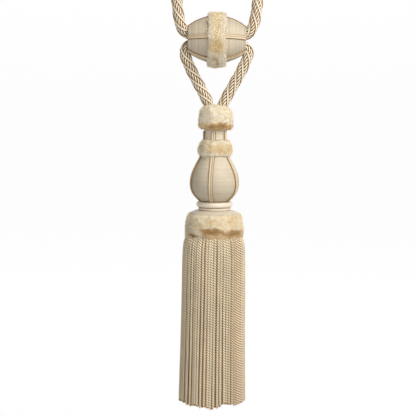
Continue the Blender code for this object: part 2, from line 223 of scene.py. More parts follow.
@dataclass
class SharedEffects:
    """The node groups that more than one finish uses, built once."""

    made: dict[str, bpy.types.NodeTree] = field(default_factory=dict)

    def fibres(self) -> bpy.types.NodeTree:
        """Fine filaments that run along a yarn: a height and a light-and-dark mask, from stretched noise."""
        if "fibres" not in self.made:
            draft, given = start_group(
                "fibres",
                {"Place": "NodeSocketVector", "Fineness": "NodeSocketFloat"},
                {"Height": "NodeSocketFloat", "Mask": "NodeSocketFloat"},
            )
            fine = draft.noise(given["Place"], given["Fineness"], 3.0, 0.6)
            draft.add("NodeGroupOutput", {"Height": fine, "Mask": draft.ramp(fine, 0.32, 0.68)})
            self.made["fibres"] = draft.tree
        return self.made["fibres"]

    def mottle(self) -> bpy.types.NodeTree:
        """Slow changes of shade over a piece, as hand-dyed and hand-wound yarn has."""
        if "mottle" not in self.made:
            draft, given = start_group(
                "mottle",
                {"Place": "NodeSocketVector", "Size": "NodeSocketFloat", "Depth": "NodeSocketFloat"},
                {"Shade": "NodeSocketFloat"},
            )
            scale = draft.math("DIVIDE", 1.0, given["Size"])
            away = draft.math("SUBTRACT", draft.noise(given["Place"], scale), 0.5)
            shade = draft.math("MULTIPLY_ADD", away, given["Depth"], 1.0)
            draft.add("NodeGroupOutput", {"Shade": shade})
            self.made["mottle"] = draft.tree
        return self.made["mottle"]

    def threads(self) -> bpy.types.NodeTree:
        """The valleys between wound threads, which the finishes darken as painted shade, and the uneven tone
        from thread to thread.
        """
        if "threads" not in self.made:
            draft, given = start_group(
                "threads",
                {"Along": "NodeSocketFloat", "Pitch": "NodeSocketFloat"},
                {"Valley": "NodeSocketFloat", "Shade": "NodeSocketFloat"},
            )
            turns = draft.math("DIVIDE", given["Along"], given["Pitch"])
            wave = draft.math("COSINE", draft.math("MULTIPLY", turns, math.tau))
            valley = draft.ramp(wave, -1.0, 0.4, 1.0, 0.0)
            each = draft.add(
                "ShaderNodeTexNoise", {"W": turns, "Scale": 0.28, "Detail": 2.0}, noise_dimensions="1D"
            )
            draft.add("NodeGroupOutput", {"Valley": valley, "Shade": each.outputs["Fac"]})
            self.made["threads"] = draft.tree
        return self.made["threads"]


EFFECTS = SharedEffects()


# ---------------------------------------------------------------------------------------------------------
# Finishes


@dataclass(frozen=True)
class Finish:
    """What every finish of the tassel has.

    Attributes:
        name: the material's name.
        light: the colour where the yarn faces out.
        deep: the colour that a finish mixes in by its masks: painted shade down between yarns, in thread
            valleys, at cord feet and in grooves, and in pile the colour of its darker streaks.
        roughness: how matt the yarn is.
        sheen: how much of the fibres' soft edge light it has.
    """

    name: str
    light: Colour
    deep: Colour
    roughness: float
    sheen: float

    def start(self) -> tuple[bpy.types.Material, Draft]:
        """The new material and a draft on its emptied tree."""
        made = bpy.data.materials.new(self.name)
        made.use_nodes = True
        return made, Draft(made.node_tree)

    def close(
        self,
        draft: Draft,
        colour: Socket,
        height: Socket,
        relief: float,
        rough: Socket | None = None,
    ) -> None:
        """Adds the shader and the output.

        Args:
            draft: the material's draft.
            colour: the base colour.
            height: the height for the bump.
            relief: the bump's distance, in metres.
            rough: a roughness that changes over the surface, if it does.
        """
        bump = draft.add("ShaderNodeBump", {"Height": height, "Distance": relief, "Strength": 0.8})
        shader = draft.add(
            "ShaderNodeBsdfPrincipled",
            {
                "Base Color": colour,
                "Roughness": self.roughness if rough is None else rough,
                "Sheen Weight": self.sheen,
                "Sheen Roughness": 0.4,
                "Specular IOR Level": 0.45,
                "Normal": bump.outputs["Normal"],
            },
        )
        draft.add("ShaderNodeOutputMaterial", {"Surface": shader.outputs["BSDF"]})


@dataclass(frozen=True)
class PliedFinish(Finish):
    """Yarn laid up into strands and cords, light on its crowns, with painted brown shade down between them.

    Attributes:
        crown_from: the crown value at which the yarn starts to lighten.
        crown_to: the crown value at which it is lightest.
        strand_shade: how much one cord differs from the next.
    """

    crown_from: float = 0.35
    crown_to: float = 0.9
    strand_shade: float = 0.16

    def material(self) -> bpy.types.Material:
        """Builds the material."""
        made, draft = self.start()
        crown = draft.attribute("crown")
        tone = draft.attribute("tone")
        route = draft.route()
        group = draft.group(
            EFFECTS.fibres(), {"Place": draft.stretched(route, (1.0, 0.3, 1.0)), "Fineness": 9.0}
        )
        place = draft.place()
        slow = draft.group(EFFECTS.mottle(), {"Place": place, "Size": 0.012, "Depth": 0.35})
        # painted shade: where the crown value is low, down between yarns and cords, the deep brown is mixed in
        lit = draft.ramp(crown, self.crown_from, self.crown_to)
        colour = draft.mix(lit, self.deep, self.light)
        shade = draft.math("MULTIPLY_ADD", draft.math("SUBTRACT", tone, 0.5), self.strand_shade, 1.0)
        shade = draft.math("MULTIPLY", shade, slow.outputs["Shade"])
        fine = draft.math("MULTIPLY_ADD", group.outputs["Mask"], 0.14, 0.91)
        colour = draft.scaled(colour, draft.math("MULTIPLY", shade, fine))
        rough = draft.math("MULTIPLY_ADD", group.outputs["Mask"], -0.12, self.roughness + 0.06)
        self.close(draft, colour, group.outputs["Height"], 0.00012, rough)
        return made


@dataclass(frozen=True)
class WoundFinish(Finish):
    """Fine yarn wound in even turns, with the odd turn darker and painted shade in the valleys between turns.

    Attributes:
        axis: the axis that the turns go round.
        evenness: how light the darkest turns are.
        painted_shade_below: painted shade that darkens the yarn towards the bottom, where less light falls: two
            drops in millimetres, between which the colour darkens, and the share of light left then.
    """

    axis: Axis = Axis.TASSEL
    evenness: float = 0.9
    painted_shade_below: tuple[float, float, float] | None = None

    def material(self) -> bpy.types.Material:
        """Builds the material."""
        made, draft = self.start()
        place = draft.place()
        apart = draft.add("ShaderNodeSeparateXYZ", {0: place})
        threads = draft.group(
            EFFECTS.threads(), {"Along": apart.outputs[self.axis.value], "Pitch": THREAD_PITCH * MM}
        )
        slow = draft.group(EFFECTS.mottle(), {"Place": place, "Size": 0.02, "Depth": 0.22})
        factors = (260.0, 260.0, 2600.0) if self.axis is Axis.TASSEL else (2600.0, 260.0, 260.0)
        fibres = draft.group(EFFECTS.fibres(), {"Place": draft.stretched(place, factors), "Fineness": 1.0})
        uneven = draft.ramp(threads.outputs["Shade"], 0.3, 0.7, self.evenness, 1.03)
        # painted shade: the valleys between turns take some of the deep colour
        colour = draft.mix(draft.math("MULTIPLY", threads.outputs["Valley"], 0.55), self.light, self.deep)
        shade = draft.math("MULTIPLY", uneven, slow.outputs["Shade"])
        # painted shade: darker towards the bottom, between the two drops
        if self.painted_shade_below:
            start, end, left = self.painted_shade_below
            shade = draft.math(
                "MULTIPLY", shade, draft.ramp(apart.outputs["Z"], -start * MM, -end * MM, 1.0, left)
            )
        fine = draft.math("MULTIPLY_ADD", fibres.outputs["Mask"], 0.08, 0.95)
        colour = draft.scaled(colour, draft.math("MULTIPLY", shade, fine))
        self.close(draft, colour, fibres.outputs["Height"], 0.00006)
        return made


@dataclass(frozen=True)
class GimpFinish(Finish):
    """A smooth cord with a wrapping too fine to count, tan at its foot and outer flank: partly the wrapping's
    own tan, partly painted shade where it meets the surface.
    """

    def material(self) -> bpy.types.Material:
        """Builds the material."""
        made, draft = self.start()
        crown = draft.attribute("crown")
        route = draft.route()
        fibres = draft.group(
            EFFECTS.fibres(), {"Place": draft.stretched(route, (0.6, 3.2, 1.0)), "Fineness": 6.0}
        )
        # painted shade at the cords' foot and outer flank, mixed with their own tan
        colour = draft.mix(draft.ramp(crown, 0.1, 0.9), self.deep, self.light)
        fine = draft.math("MULTIPLY_ADD", fibres.outputs["Mask"], 0.08, 0.95)
        self.close(draft, draft.scaled(colour, fine), fibres.outputs["Height"], 0.00008)
        return made


@dataclass(frozen=True)
class Band:
    """A coloured band of a pile ruff.

    Attributes:
        colour: the colour of its pile.
        start: where the band begins along the ruff's axis, in millimetres of drop or of X.
        end: where it ends.
        left: the X, in millimetres, left of which it fades out, if it does.
        share: how fully it covers the cream.
    """

    colour: Colour
    start: float
    end: float
    left: float | None = None
    share: float = 0.9


@dataclass(frozen=True)
class Patch:
    """A patch of other colour in a ruff, with soft wandering edges; those marked where they are listed are
    painted shade.

    Attributes:
        colour: the colour of the patch.
        centre: its X, Y and drop, in millimetres.
        reach: how far it goes each way along X, Y and the drop, in millimetres.
        share: how fully it covers what is under it.
    """

    colour: Colour
    centre: tuple[float, float, float]
    reach: tuple[float, float, float]
    share: float = 0.8


PILE_ROUGHNESS = 0.85
PILE_SHEEN = 0.1
PILE_WANDER = 9.0  # how far the edges of bands and patches wander, in millimetres


@dataclass(frozen=True)
class PileFinish(Finish):
    """Cut pile: cream, with bands of other pile and patches of other colour, some of them painted shade, light
    at its tips and with painted shade darker down between them.

    Attributes:
        axis: the axis that the bands go round.
        bands: the coloured bands.
        patches: the coloured patches, laid over the bands.
    """

    axis: Axis = Axis.TASSEL
    bands: tuple[Band, ...] = ()
    patches: tuple[Patch, ...] = ()

    def material(self) -> bpy.types.Material:
        """Builds the material."""
        made, draft = self.start()
        tip = draft.attribute("tip")
        tone = draft.attribute("tone")
        place = draft.place()
        drift = draft.add(
            "ShaderNodeTexNoise", {"Vector": place, "Scale": 210.0, "Detail": 4.0, "Roughness": 0.7}
        )
        drift = draft.vector("SUBTRACT", drift.outputs["Color"], (0.5, 0.5, 0.5)).outputs[0]
        in_mm = draft.stretched(place, (1 / MM, 1 / MM, -1 / MM))
        spot = draft.vector("MULTIPLY_ADD", drift, (PILE_WANDER,) * 3, in_mm).outputs[0]
        apart = draft.add("ShaderNodeSeparateXYZ", {0: spot})
        along = apart.outputs[self.axis.value]
        streaks = (140.0, 140.0, 300.0) if self.axis is Axis.TASSEL else (420.0, 110.0, 110.0)
        streak = draft.ramp(draft.noise(draft.stretched(place, streaks), 1.0), 0.32, 0.68)
        colour = draft.mix(streak, self.light, self.deep)
        for band in self.bands:
            inside = draft.math(
                "MULTIPLY",
                draft.ramp(along, band.start - 1.2, band.start + 1.2),
                draft.ramp(along, band.end - 1.2, band.end + 1.2, 1.0, 0.0),
            )
            if band.left is not None:
                right = draft.ramp(apart.outputs["X"], band.left - 2.5, band.left + 2.5)
                inside = draft.math("MULTIPLY", inside, right)
            patchy = draft.ramp(draft.noise(draft.stretched(place, streaks), 2.2), 0.3, 0.65, 0.4, 1.0)
            inside = draft.math("MULTIPLY", inside, draft.math("MULTIPLY", patchy, band.share))
            colour = draft.mix(inside, colour, band.colour)
        for patch in self.patches:
            away = draft.vector("SUBTRACT", spot, patch.centre).outputs[0]
            away = draft.stretched(away, tuple(1.0 / reach for reach in patch.reach))
            away = draft.vector("LENGTH", away).outputs["Value"]
            colour = draft.mix(draft.ramp(away, 0.35, 1.35, patch.share, 0.0), colour, patch.colour)
        # painted shade: tufts darker towards their roots, down in the pile
        depth = draft.ramp(tip, 0.0, 0.7, 0.92, 1.0)
        fleck = draft.ramp(draft.noise(draft.stretched(place, streaks), 3.0, 3.0, 0.6), 0.35, 0.65, 0.9, 1.03)
        shade = draft.math("MULTIPLY", draft.math("MULTIPLY_ADD", tone, 0.12, 0.96), fleck)
        colour = draft.scaled(colour, draft.math("MULTIPLY", depth, shade))
        self.close(draft, colour, draft.noise(place, 900.0, 3.0, 0.7), 0.0005)
        return made


@dataclass(frozen=True)
class SatinFinish(Finish):
    """Satin threads laid side by side up over a ring, so that their lines fan out from the tassel's axis.

    Attributes:
        threads: how many threads go round the ring.
        grooves: drops of the grooves, where the satin is painted tan as shade, with half their widths, in
            millimetres.
    """

    threads: int = 150
    grooves: Table = ()

    def material(self) -> bpy.types.Material:
        """Builds the material."""
        made, draft = self.start()
        place = draft.place()
        turn = draft.add("ShaderNodeTexGradient", {"Vector": place}, gradient_type="RADIAL").outputs["Fac"]
        wave = draft.math("SINE", draft.math("MULTIPLY", turn, math.tau * self.threads))
        # painted shade: darker lines between the satin threads
        line = draft.ramp(wave, -2.2, 0.2)
        slow = draft.group(EFFECTS.mottle(), {"Place": place, "Size": 0.01, "Depth": 0.16})
        colour = draft.mix(line, self.deep, self.light)
        drop = draft.math("MULTIPLY", draft.add("ShaderNodeSeparateXYZ", {0: place}).outputs["Z"], -1.0 / MM)
        # painted shade: tan in the grooves
        for groove, half in self.grooves:
            near = draft.math("ABSOLUTE", draft.math("SUBTRACT", drop, groove))
            colour = draft.mix(draft.ramp(near, 0.4 * half, 1.3 * half, 0.6, 0.0), colour, self.deep)
        self.close(draft, draft.scaled(colour, slow.outputs["Shade"]), line, 0.00008)
        return made


LAMP_COLOUR = (1.0, 0.98, 0.95)


@dataclass(frozen=True)
class Studio:
    """The plain pale surroundings, the lights and the camera.

    Attributes:
        distance: from the camera to the middle of its view, in metres.
        pitch: how far the camera looks down, in degrees.
        roll: how far the camera leans, in degrees.
        centre_x: where the middle of the view is, right of the tassel's axis, in millimetres.
        centre_drop: the drop of the middle of the view, in millimetres.
        view_height: what the view takes in at that distance, in metres.
    """

    distance: float = 1.25
    pitch: float = 6.0
    roll: float = 0.78
    centre_x: float = -6.4
    centre_drop: float = 246.9
    view_height: float = 0.416

    def camera(self) -> None:
        """Adds the camera."""
        data = bpy.data.cameras.new("camera")
        data.sensor_fit = "AUTO"
        data.angle = 2 * math.atan(self.view_height / 2 / self.distance)
        data.clip_start = 0.01
        obj = bpy.data.objects.new("camera", data)
        bpy.context.scene.collection.objects.link(obj)
        target = at_drop(self.centre_x, 0.0, self.centre_drop)
        pitch = math.radians(self.pitch)
        place = target + self.distance * Vector((0.0, -math.cos(pitch), math.sin(pitch)))
        turn = Matrix.Rotation(math.radians(90 - self.pitch), 4, "X") @ Matrix.Rotation(
            math.radians(self.roll), 4, "Z"
        )
        obj.matrix_world = Matrix.Translation(place) @ turn
        bpy.context.scene.camera = obj

    def lamp(self, name: str, place: Vector, size: float, watts: float) -> None:
        """Adds a soft square light that faces the tassel.

        Args:
            name: the light's name.
            place: where it stands, in metres.
            size: its side, in metres.
            watts: its power.
        """
        data = bpy.data.lights.new(name, "AREA")
        data.size = size
        data.energy = watts
        data.color = LAMP_COLOUR
        obj = bpy.data.objects.new(name, data)
        bpy.context.scene.collection.objects.link(obj)
        aim = at_drop(0.0, 0.0, self.centre_drop) - place
        obj.matrix_world = Matrix.Translation(place) @ aim.to_track_quat("-Z", "Y").to_matrix().to_4x4()

    def lights(self) -> None:
        """Adds the key light at the upper right, a weaker one at the front and the surrounding light."""
        self.lamp("key", Vector((0.76, -0.74, 0.82)), 0.8, 16.2)
        self.lamp("front", Vector((0.27, -1.11, 0.31)), 0.5, 5.4)
        world = bpy.data.worlds.new("studio")
        world.use_nodes = True
        world.node_tree.nodes["Background"].inputs["Color"].default_value = (1.0, 1.0, 1.0, 1.0)
        world.node_tree.nodes["Background"].inputs["Strength"].default_value = 0.18
        bpy.context.scene.world = world
        bpy.context.scene.view_settings.view_transform = "Standard"

    def backdrop(self) -> None:
        """Adds the pale floor, which curves up into a wall well behind the tassel."""
        clear_selection()
        bpy.ops.mesh.primitive_plane_add(size=16.0, location=(0.0, 0.0, -1.45))
        obj = bpy.context.object
        obj.name = "floor"
        bpy.ops.object.mode_set(mode="EDIT")
        bpy.ops.mesh.select_all(action="DESELECT")
        bpy.ops.object.mode_set(mode="OBJECT")
        for edge in obj.data.edges:
            edge.select = all(obj.data.vertices[v].co.y > 7.9 for v in edge.vertices)
        bpy.ops.object.mode_set(mode="EDIT")
        bpy.ops.mesh.select_mode(type="EDGE")
        bpy.ops.mesh.extrude_region_move(TRANSFORM_OT_translate={"value": (0.0, 0.0, 8.0)})
        bpy.ops.object.mode_set(mode="OBJECT")
        for edge in obj.data.edges:
            ends = [obj.data.vertices[v].co for v in edge.vertices]
            edge.select = all(abs(end.z) < 0.1 and end.y > 7.9 for end in ends)
        bpy.ops.object.mode_set(mode="EDIT")
        bpy.ops.mesh.bevel(offset=2.5, segments=16)
        bpy.ops.object.mode_set(mode="OBJECT")
        bpy.ops.object.transform_apply(location=True, rotation=True, scale=True)
        bpy.ops.object.shade_smooth()
        paint = bpy.data.materials.new("pale_floor")
        paint.use_nodes = True
        draft = Draft(paint.node_tree)
        place = draft.place()
        level = draft.stretched(place, (1.0, 1.0, 0.0))
        away = draft.vector("LENGTH", level).outputs["Value"]
        shader = draft.add(
            "ShaderNodeBsdfPrincipled",
            {
                "Base Color": (0.4, 0.4, 0.4, 1.0),
                "Roughness": 0.9,
                "Emission Color": (1.0, 1.0, 1.0, 1.0),
                "Emission Strength": draft.ramp(away, 0.9, 2.1, 0.15, 0.82),
            },
        )
        draft.add("ShaderNodeOutputMaterial", {"Surface": shader.outputs["BSDF"]})
        obj.data.materials.append(paint)

    def build(self) -> None:
        """Builds all of it."""
        self.camera()
        self.lights()
        self.backdrop()


# ---------------------------------------------------------------------------------------------------------
# Making shapes


def clear_selection() -> None:
    """Leaves nothing selected, in object mode."""
    if bpy.context.mode != "OBJECT":
        bpy.ops.object.mode_set(mode="OBJECT")
    bpy.ops.object.select_all(action="DESELECT")


def settle(obj: bpy.types.Object, finish: bpy.types.Material, slot: str, *nodes: str) -> bpy.types.Object:
    """Dresses a finished piece, puts it under the root body and hides the CAD parts that it stands for.

    Args:
        obj: the piece.
        finish: its material.
        slot: not used.
        nodes: the CAD nodes that it stands for.

    Returns:
        The same piece.
    """
    obj.data.materials.clear()
    obj.data.materials.append(finish)
    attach(obj, "root")
    if nodes:
        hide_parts(*nodes)
    LOG.info("%s: %d faces", obj.name, len(obj.data.polygons))
    return obj


def in_order(mesh: bpy.types.Mesh) -> None:
    """Sorts a turned mesh's faces by their points, because the spin leaves them in another order each run.

    What is grown on the faces, and the last digits of their points' normals, depend on that order.

    Args:
        mesh: the mesh as it was turned.
    """
    points = [tuple(vertex.co) for vertex in mesh.vertices]
    faces = []
    for face in mesh.polygons:
        corners = list(face.vertices)
        first = corners.index(min(corners))
        faces.append(corners[first:] + corners[:first])
    mesh.clear_geometry()
    mesh.from_pydata(points, [], sorted(faces))


def lathe(name: str, outline: Outline, axis: Axis, steps: int, closed: bool = False) -> bpy.types.Object:
    """A piece turned about the tassel's or the slider's axis.

    Args:
        name: the piece's name.
        outline: places along the axis, as a drop or an X, each with a radius, all in millimetres.
        axis: the axis it is turned about.
        steps: how many steps go round.
        closed: whether the outline comes back to its first point, as a ring's does.

    Returns:
        The turned piece, with its place in its mesh.
    """

    def point(along: float, radius: float) -> Vector:
        """A point of the outline in space."""
        if axis is Axis.TASSEL:
            return at_drop(0.0, -radius, along)
        return at_drop(along, -radius, SLIDER_DROP)

    places = [point(*spot) for spot in outline]
    clear_selection()
    bpy.ops.mesh.primitive_plane_add(size=MM, location=places[0])
    obj = bpy.context.object
    obj.name = name
    obj.data.name = name
    bpy.ops.object.mode_set(mode="EDIT")
    bpy.ops.mesh.select_mode(type="VERT")
    bpy.ops.mesh.select_all(action="SELECT")
    bpy.ops.mesh.merge(type="CENTER")
    for before, after in zip(places, places[1:]):
        bpy.ops.mesh.extrude_region_move(TRANSFORM_OT_translate={"value": after - before})
    if closed:
        bpy.ops.object.mode_set(mode="OBJECT")
        for vertex in obj.data.vertices:
            vertex.select = vertex.index in (0, len(places) - 1)
        bpy.ops.object.mode_set(mode="EDIT")
        bpy.ops.mesh.edge_face_add()
    bpy.ops.mesh.select_all(action="SELECT")
    centre = (0.0, 0.0, 0.0) if axis is Axis.TASSEL else (0.0, 0.0, -SLIDER_DROP * MM)
    around = (0.0, 0.0, 1.0) if axis is Axis.TASSEL else (1.0, 0.0, 0.0)
    bpy.ops.mesh.spin(steps=steps, angle=math.tau, center=centre, axis=around)
    bpy.ops.mesh.select_all(action="SELECT")
    bpy.ops.mesh.remove_doubles(threshold=0.01 * MM)
    bpy.ops.mesh.normals_make_consistent(inside=False)
    bpy.ops.object.mode_set(mode="OBJECT")
    bpy.ops.object.transform_apply(location=True, rotation=True, scale=True)
    in_order(obj.data)
    bpy.ops.object.shade_smooth()
    return obj


def rounded(points: Outline | Table, step: float) -> Outline:
    """Points about a step apart on a smooth curve through an outline's points."""
    flat = [Vector((a, b, 0.0)) for a, b in points]
    return [(p.x, p.y) for p in smooth_through(flat, step)]


def smooth_through(points: list[Vector], step: float) -> list[Vector]:
    """Points about a step apart on a Catmull-Rom curve.

    Args:
        points: the points that the curve goes through.
        step: the distance between the points made.

    Returns:
        The points made, from the first given point to the last.
    """
    known = [2 * points[0] - points[1], *points, 2 * points[-1] - points[-2]]
    made = [points[0].copy()]
    for before, start, end, after in zip(known, known[1:], known[2:], known[3:]):
        pieces = max(1, round((end - start).length / step))
        for k in range(1, pieces + 1):
            t = k / pieces
            made.append(
                0.5
                * (
                    2 * start
                    + (end - before) * t
                    + (2 * before - 5 * start + 4 * end - after) * t**2
                    + (3 * start - before - 3 * end + after) * t**3
                )
            )
    return made


def evenly(points: list[Vector], step: float) -> np.ndarray:
    """The same line with its points an even step apart."""
    line = np.array([tuple(p) for p in points])
    lengths = np.linalg.norm(np.diff(line, axis=0), axis=1)
    travelled = np.concatenate([[0.0], np.cumsum(lengths)])
    count = max(2, round(travelled[-1] / step) + 1)
    wanted = np.linspace(0.0, travelled[-1], count)
    return np.stack([np.interp(wanted, travelled, line[:, k]) for k in range(3)], axis=1)


def unit(vectors: np.ndarray) -> np.ndarray:
    """Vectors scaled to length one."""
    return vectors / np.maximum(np.linalg.norm(vectors, axis=1, keepdims=True), 1e-12)


@dataclass
class Guide:
    """A line with a direction ahead and two directions across it at each point, all in metres."""

    line: np.ndarray
    side: np.ndarray
    ahead: np.ndarray = field(init=False)
    across: np.ndarray = field(init=False)
    travelled: np.ndarray = field(init=False)

    def __post_init__(self) -> None:
        """Works out the directions and the distance along the line."""
        self.ahead = unit(np.gradient(self.line, axis=0))
        self.side = unit(self.side - (self.side * self.ahead).sum(1, keepdims=True) * self.ahead)
        self.across = np.cross(self.ahead, self.side)
        steps = np.linalg.norm(np.diff(self.line, axis=0), axis=1)
        self.travelled = np.concatenate([[0.0], np.cumsum(steps)])

    def spoke(self, angle: np.ndarray) -> np.ndarray:
        """The direction at an angle round the line, at each point."""
        return np.cos(angle)[:, None] * self.side + np.sin(angle)[:, None] * self.across

    def wound(self, radius: float, start: float, lay: float) -> "Guide":
        """A helix round this line.

        Args:
            radius: its distance from the line, in metres.
            start: its first angle.
            lay: the length of one turn, in metres, negative for a left-handed one.

        Returns:
            The helix, its side directions pointing away from this line.
        """
        out = self.spoke(start + math.tau * self.travelled / lay)
        return Guide(self.line + radius * out, out)


Distance = float | np.ndarray


class YarnMesh:
    """Collects round yarns into one mesh, with a UV map that runs along them and a crown value, the mask of the
    painted shade between yarns.
    """

    def __init__(self, name: str) -> None:
        """Starts an empty mesh of that name."""
        self.name = name
        self.points: list[np.ndarray] = []
        self.crowns: list[np.ndarray] = []
        self.tones: list[np.ndarray] = []
        self.corners: list[np.ndarray] = []
        self.sizes: list[np.ndarray] = []
        self.uvs: list[np.ndarray] = []
        self.count = 0

    def yarn(
        self,
        guide: Guide,
        radius: float,
        sides: int,
        depths: list[tuple[np.ndarray, Distance, Distance]],
        tone: float = 0.5,
    ) -> None:
        """Adds a yarn along a guide.

        Args:
            guide: the yarn's middle.
            radius: its radius, in metres.
            sides: how many sides it has.
            depths: lines to measure from, each with the distances at which the crown is 0 and 1; a low crown
                gets painted shade.
            tone: one value for the whole yarn, which its material reads.
        """
        rings = len(guide.line)
        angles = math.tau * np.arange(sides) / sides
        spokes = (
            np.cos(angles)[None, :, None] * guide.side[:, None, :]
            + np.sin(angles)[None, :, None] * guide.across[:, None, :]
        )
        points = guide.line[:, None, :] + radius * spokes
        crown = np.ones((rings, sides))
        for heart, low, high in depths:
            out = np.linalg.norm(points - heart[:, None, :], axis=2)
            crown = crown * np.clip((out - low) / (high - low), 0.0, 1.0)
        self.points.append(points.reshape(-1, 3))
        self.crowns.append(crown.reshape(-1))
        self.tones.append(np.full(rings * sides, tone))
        ring, turn = np.meshgrid(np.arange(rings - 1), np.arange(sides), indexing="ij")
        after = (turn + 1) % sides
        quads = np.stack(
            [
                ring * sides + turn, ring * sides + after, (ring + 1) * sides + after, (ring + 1) * sides + turn
            ],
            axis=-1,
        ).reshape(-1, 4)
        v = guide.travelled / (math.tau * radius)
        u0, u1 = turn / sides, (turn + 1) / sides
        v0, v1 = v[ring], v[ring + 1]
        uv = np.stack(
            [np.stack([u0, v0], -1), np.stack([u1, v0], -1), np.stack([u1, v1], -1), np.stack([u0, v1], -1)],
            axis=2,
        ).reshape(-1, 2)
        caps = np.concatenate([np.arange(sides)[::-1], (rings - 1) * sides + np.arange(sides)])
        self.corners += [quads.reshape(-1) + self.count, caps + self.count]
        self.sizes += [np.full(len(quads), 4), np.full(2, sides)]
        self.uvs += [uv, np.zeros((2 * sides, 2))]
        self.count += rings * sides

    def finish(self) -> bpy.types.Object:
        """Makes the object, smooth shaded."""
        corners, sizes = np.concatenate(self.corners), np.concatenate(self.sizes)
        mesh = bpy.data.meshes.new(self.name)
        mesh.vertices.add(self.count)
        mesh.vertices.foreach_set("co", np.concatenate(self.points).astype(np.float32).ravel())
        mesh.loops.add(len(corners))
        mesh.loops.foreach_set("vertex_index", corners.astype(np.int32))
        mesh.polygons.add(len(sizes))
        starts = np.concatenate([[0], np.cumsum(sizes)[:-1]])
        mesh.polygons.foreach_set("loop_start", starts.astype(np.int32))
        mesh.update(calc_edges=True)
        mesh.uv_layers.new(name="UVMap").data.foreach_set(
            "uv", np.concatenate(self.uvs).astype(np.float32).ravel()
        )
        for label, values in (("crown", self.crowns), ("tone", self.tones)):
            layer = mesh.attributes.new(label, "FLOAT", "POINT")
            layer.data.foreach_set("value", np.concatenate(values).astype(np.float32))
        mesh.shade_smooth()
        obj = bpy.data.objects.new(self.name, mesh)
        bpy.context.scene.collection.objects.link(obj)
        return obj


# ---------------------------------------------------------------------------------------------------------
# Rope


# The route of half of the rope but for its way through the slider: X and drop, in millimetres
LOWER_ARM: Table = (
    (-5.6, 159.5), (-5.6, 153.5), (-6.1, 147.2), (-8.4, 140.6), (-13.1, 131.6), (-18.6, 121.6),
    (-24.0, 111.6), (-28.2, 102.8), (-30.6, 96.2), (-31.1, 91.4), (-29.6, 87.8), (-26.2, 85.8),
)
UPPER_ARM: Table = (
    (26.2, 74.9), (30.0, 73.8), (33.2, 70.8), (35.6, 66.2), (37.4, 60.0), (38.7, 51.0), (39.9, 41.0),
    (40.9, 30.5), (40.1, 19.6), (35.8, 9.4), (27.6, 1.6), (15.3, -3.6), (0.0, -5.2),
)


@dataclass
class Rope:
    """The rope loop: fat strands of plied yarn, with two smooth cords in each valley between them.

    Sizes are in millimetres.
    """

    strands: int = 4
    lay: float = 60.0
    strand_place: float = 2.75
    yarns: int = 5
    yarn_place: float = 1.85
    yarn_radius: float = 0.94
    yarn_lay: float = 15.5
    smooth_place: float = 5.0
    smooth_radius: float = 0.66
    smooth_spread: float = 7.3
    crossing_half_length: float = 21.6
    crossing_radius: float = 5.4
    step: float = 1.3
    declared_diameter: float = 11.0

    def route(self) -> list[Vector]:
        """The rope's middle from its left end in the head, round the loop, to its right end."""
        crossing = []
        for share in (-1.0, -0.5, 0.0, 0.5, 1.0):
            angle = share * math.pi / 2
            back = self.crossing_radius * math.cos(angle)
            drop = SLIDER_DROP - self.crossing_radius * math.sin(angle)
            crossing.append(at_drop(share * self.crossing_half_length, back, drop))
        lower, upper = ([at_drop(x, 0.0, drop) for x, drop in arm] for arm in (LOWER_ARM, UPPER_ARM))
        half = lower + crossing + upper
        other = [Vector((-p.x, -p.y, p.z)) for p in reversed(half[:-1])]
        return smooth_through(half + other, 1.5 * MM)

    def build(self, rope_finish: bpy.types.Material) -> None:
        """Args:
            rope_finish: the material of all its yarns.
        """
        line = evenly(self.route(), self.step * MM)
        heart = Guide(line, np.tile([0.0, 1.0, 0.0], (len(line), 1)))
        mesh = YarnMesh("rope_loop")
        crest = self.yarn_place + 0.95 * self.yarn_radius
        foot = self.yarn_place + 0.42 * self.yarn_radius
        outer = (self.strand_place + crest) * MM
        chance = random.Random(3)
        for k in range(self.strands):
            start = math.tau * k / self.strands
            strand = heart.wound(self.strand_place * MM, start, -self.lay * MM)
            for j in range(self.yarns):
                turn = math.tau * j / self.yarns
                yarn = strand.wound(self.yarn_place * MM, turn, self.yarn_lay * MM)
                # painted shade: yarns darken deeper into the rope and towards their feet on the strand
                depths = [(line, 0.66 * outer, 0.95 * outer), (strand.line, foot * MM, crest * MM)]
                mesh.yarn(yarn, self.yarn_radius * MM, 6, depths, chance.uniform(0.2, 0.8))
            valley = start + math.pi / self.strands
            pair = heart.wound(self.smooth_place * MM, valley, -self.lay * MM)
            for sign in (-1, 1):
                turn = valley + sign * math.radians(self.smooth_spread)
                smooth = heart.wound(self.smooth_place * MM, turn, -self.lay * MM)
                low, high = (self.smooth_place + share * self.smooth_radius for share in (0.0, 0.9))
                # painted shade: the smooth cords darken towards the rope's heart and on the side away from
                # their pair's middle
                depths = [(line, low * MM, high * MM), (pair.line, 1.3 * MM, 0.7 * MM)]
                mesh.yarn(smooth, self.smooth_radius * MM, 8, depths, 0.6)
        rope = settle(mesh.finish(), rope_finish, "rope", "rope")


# ---------------------------------------------------------------------------------------------------------
# Pile


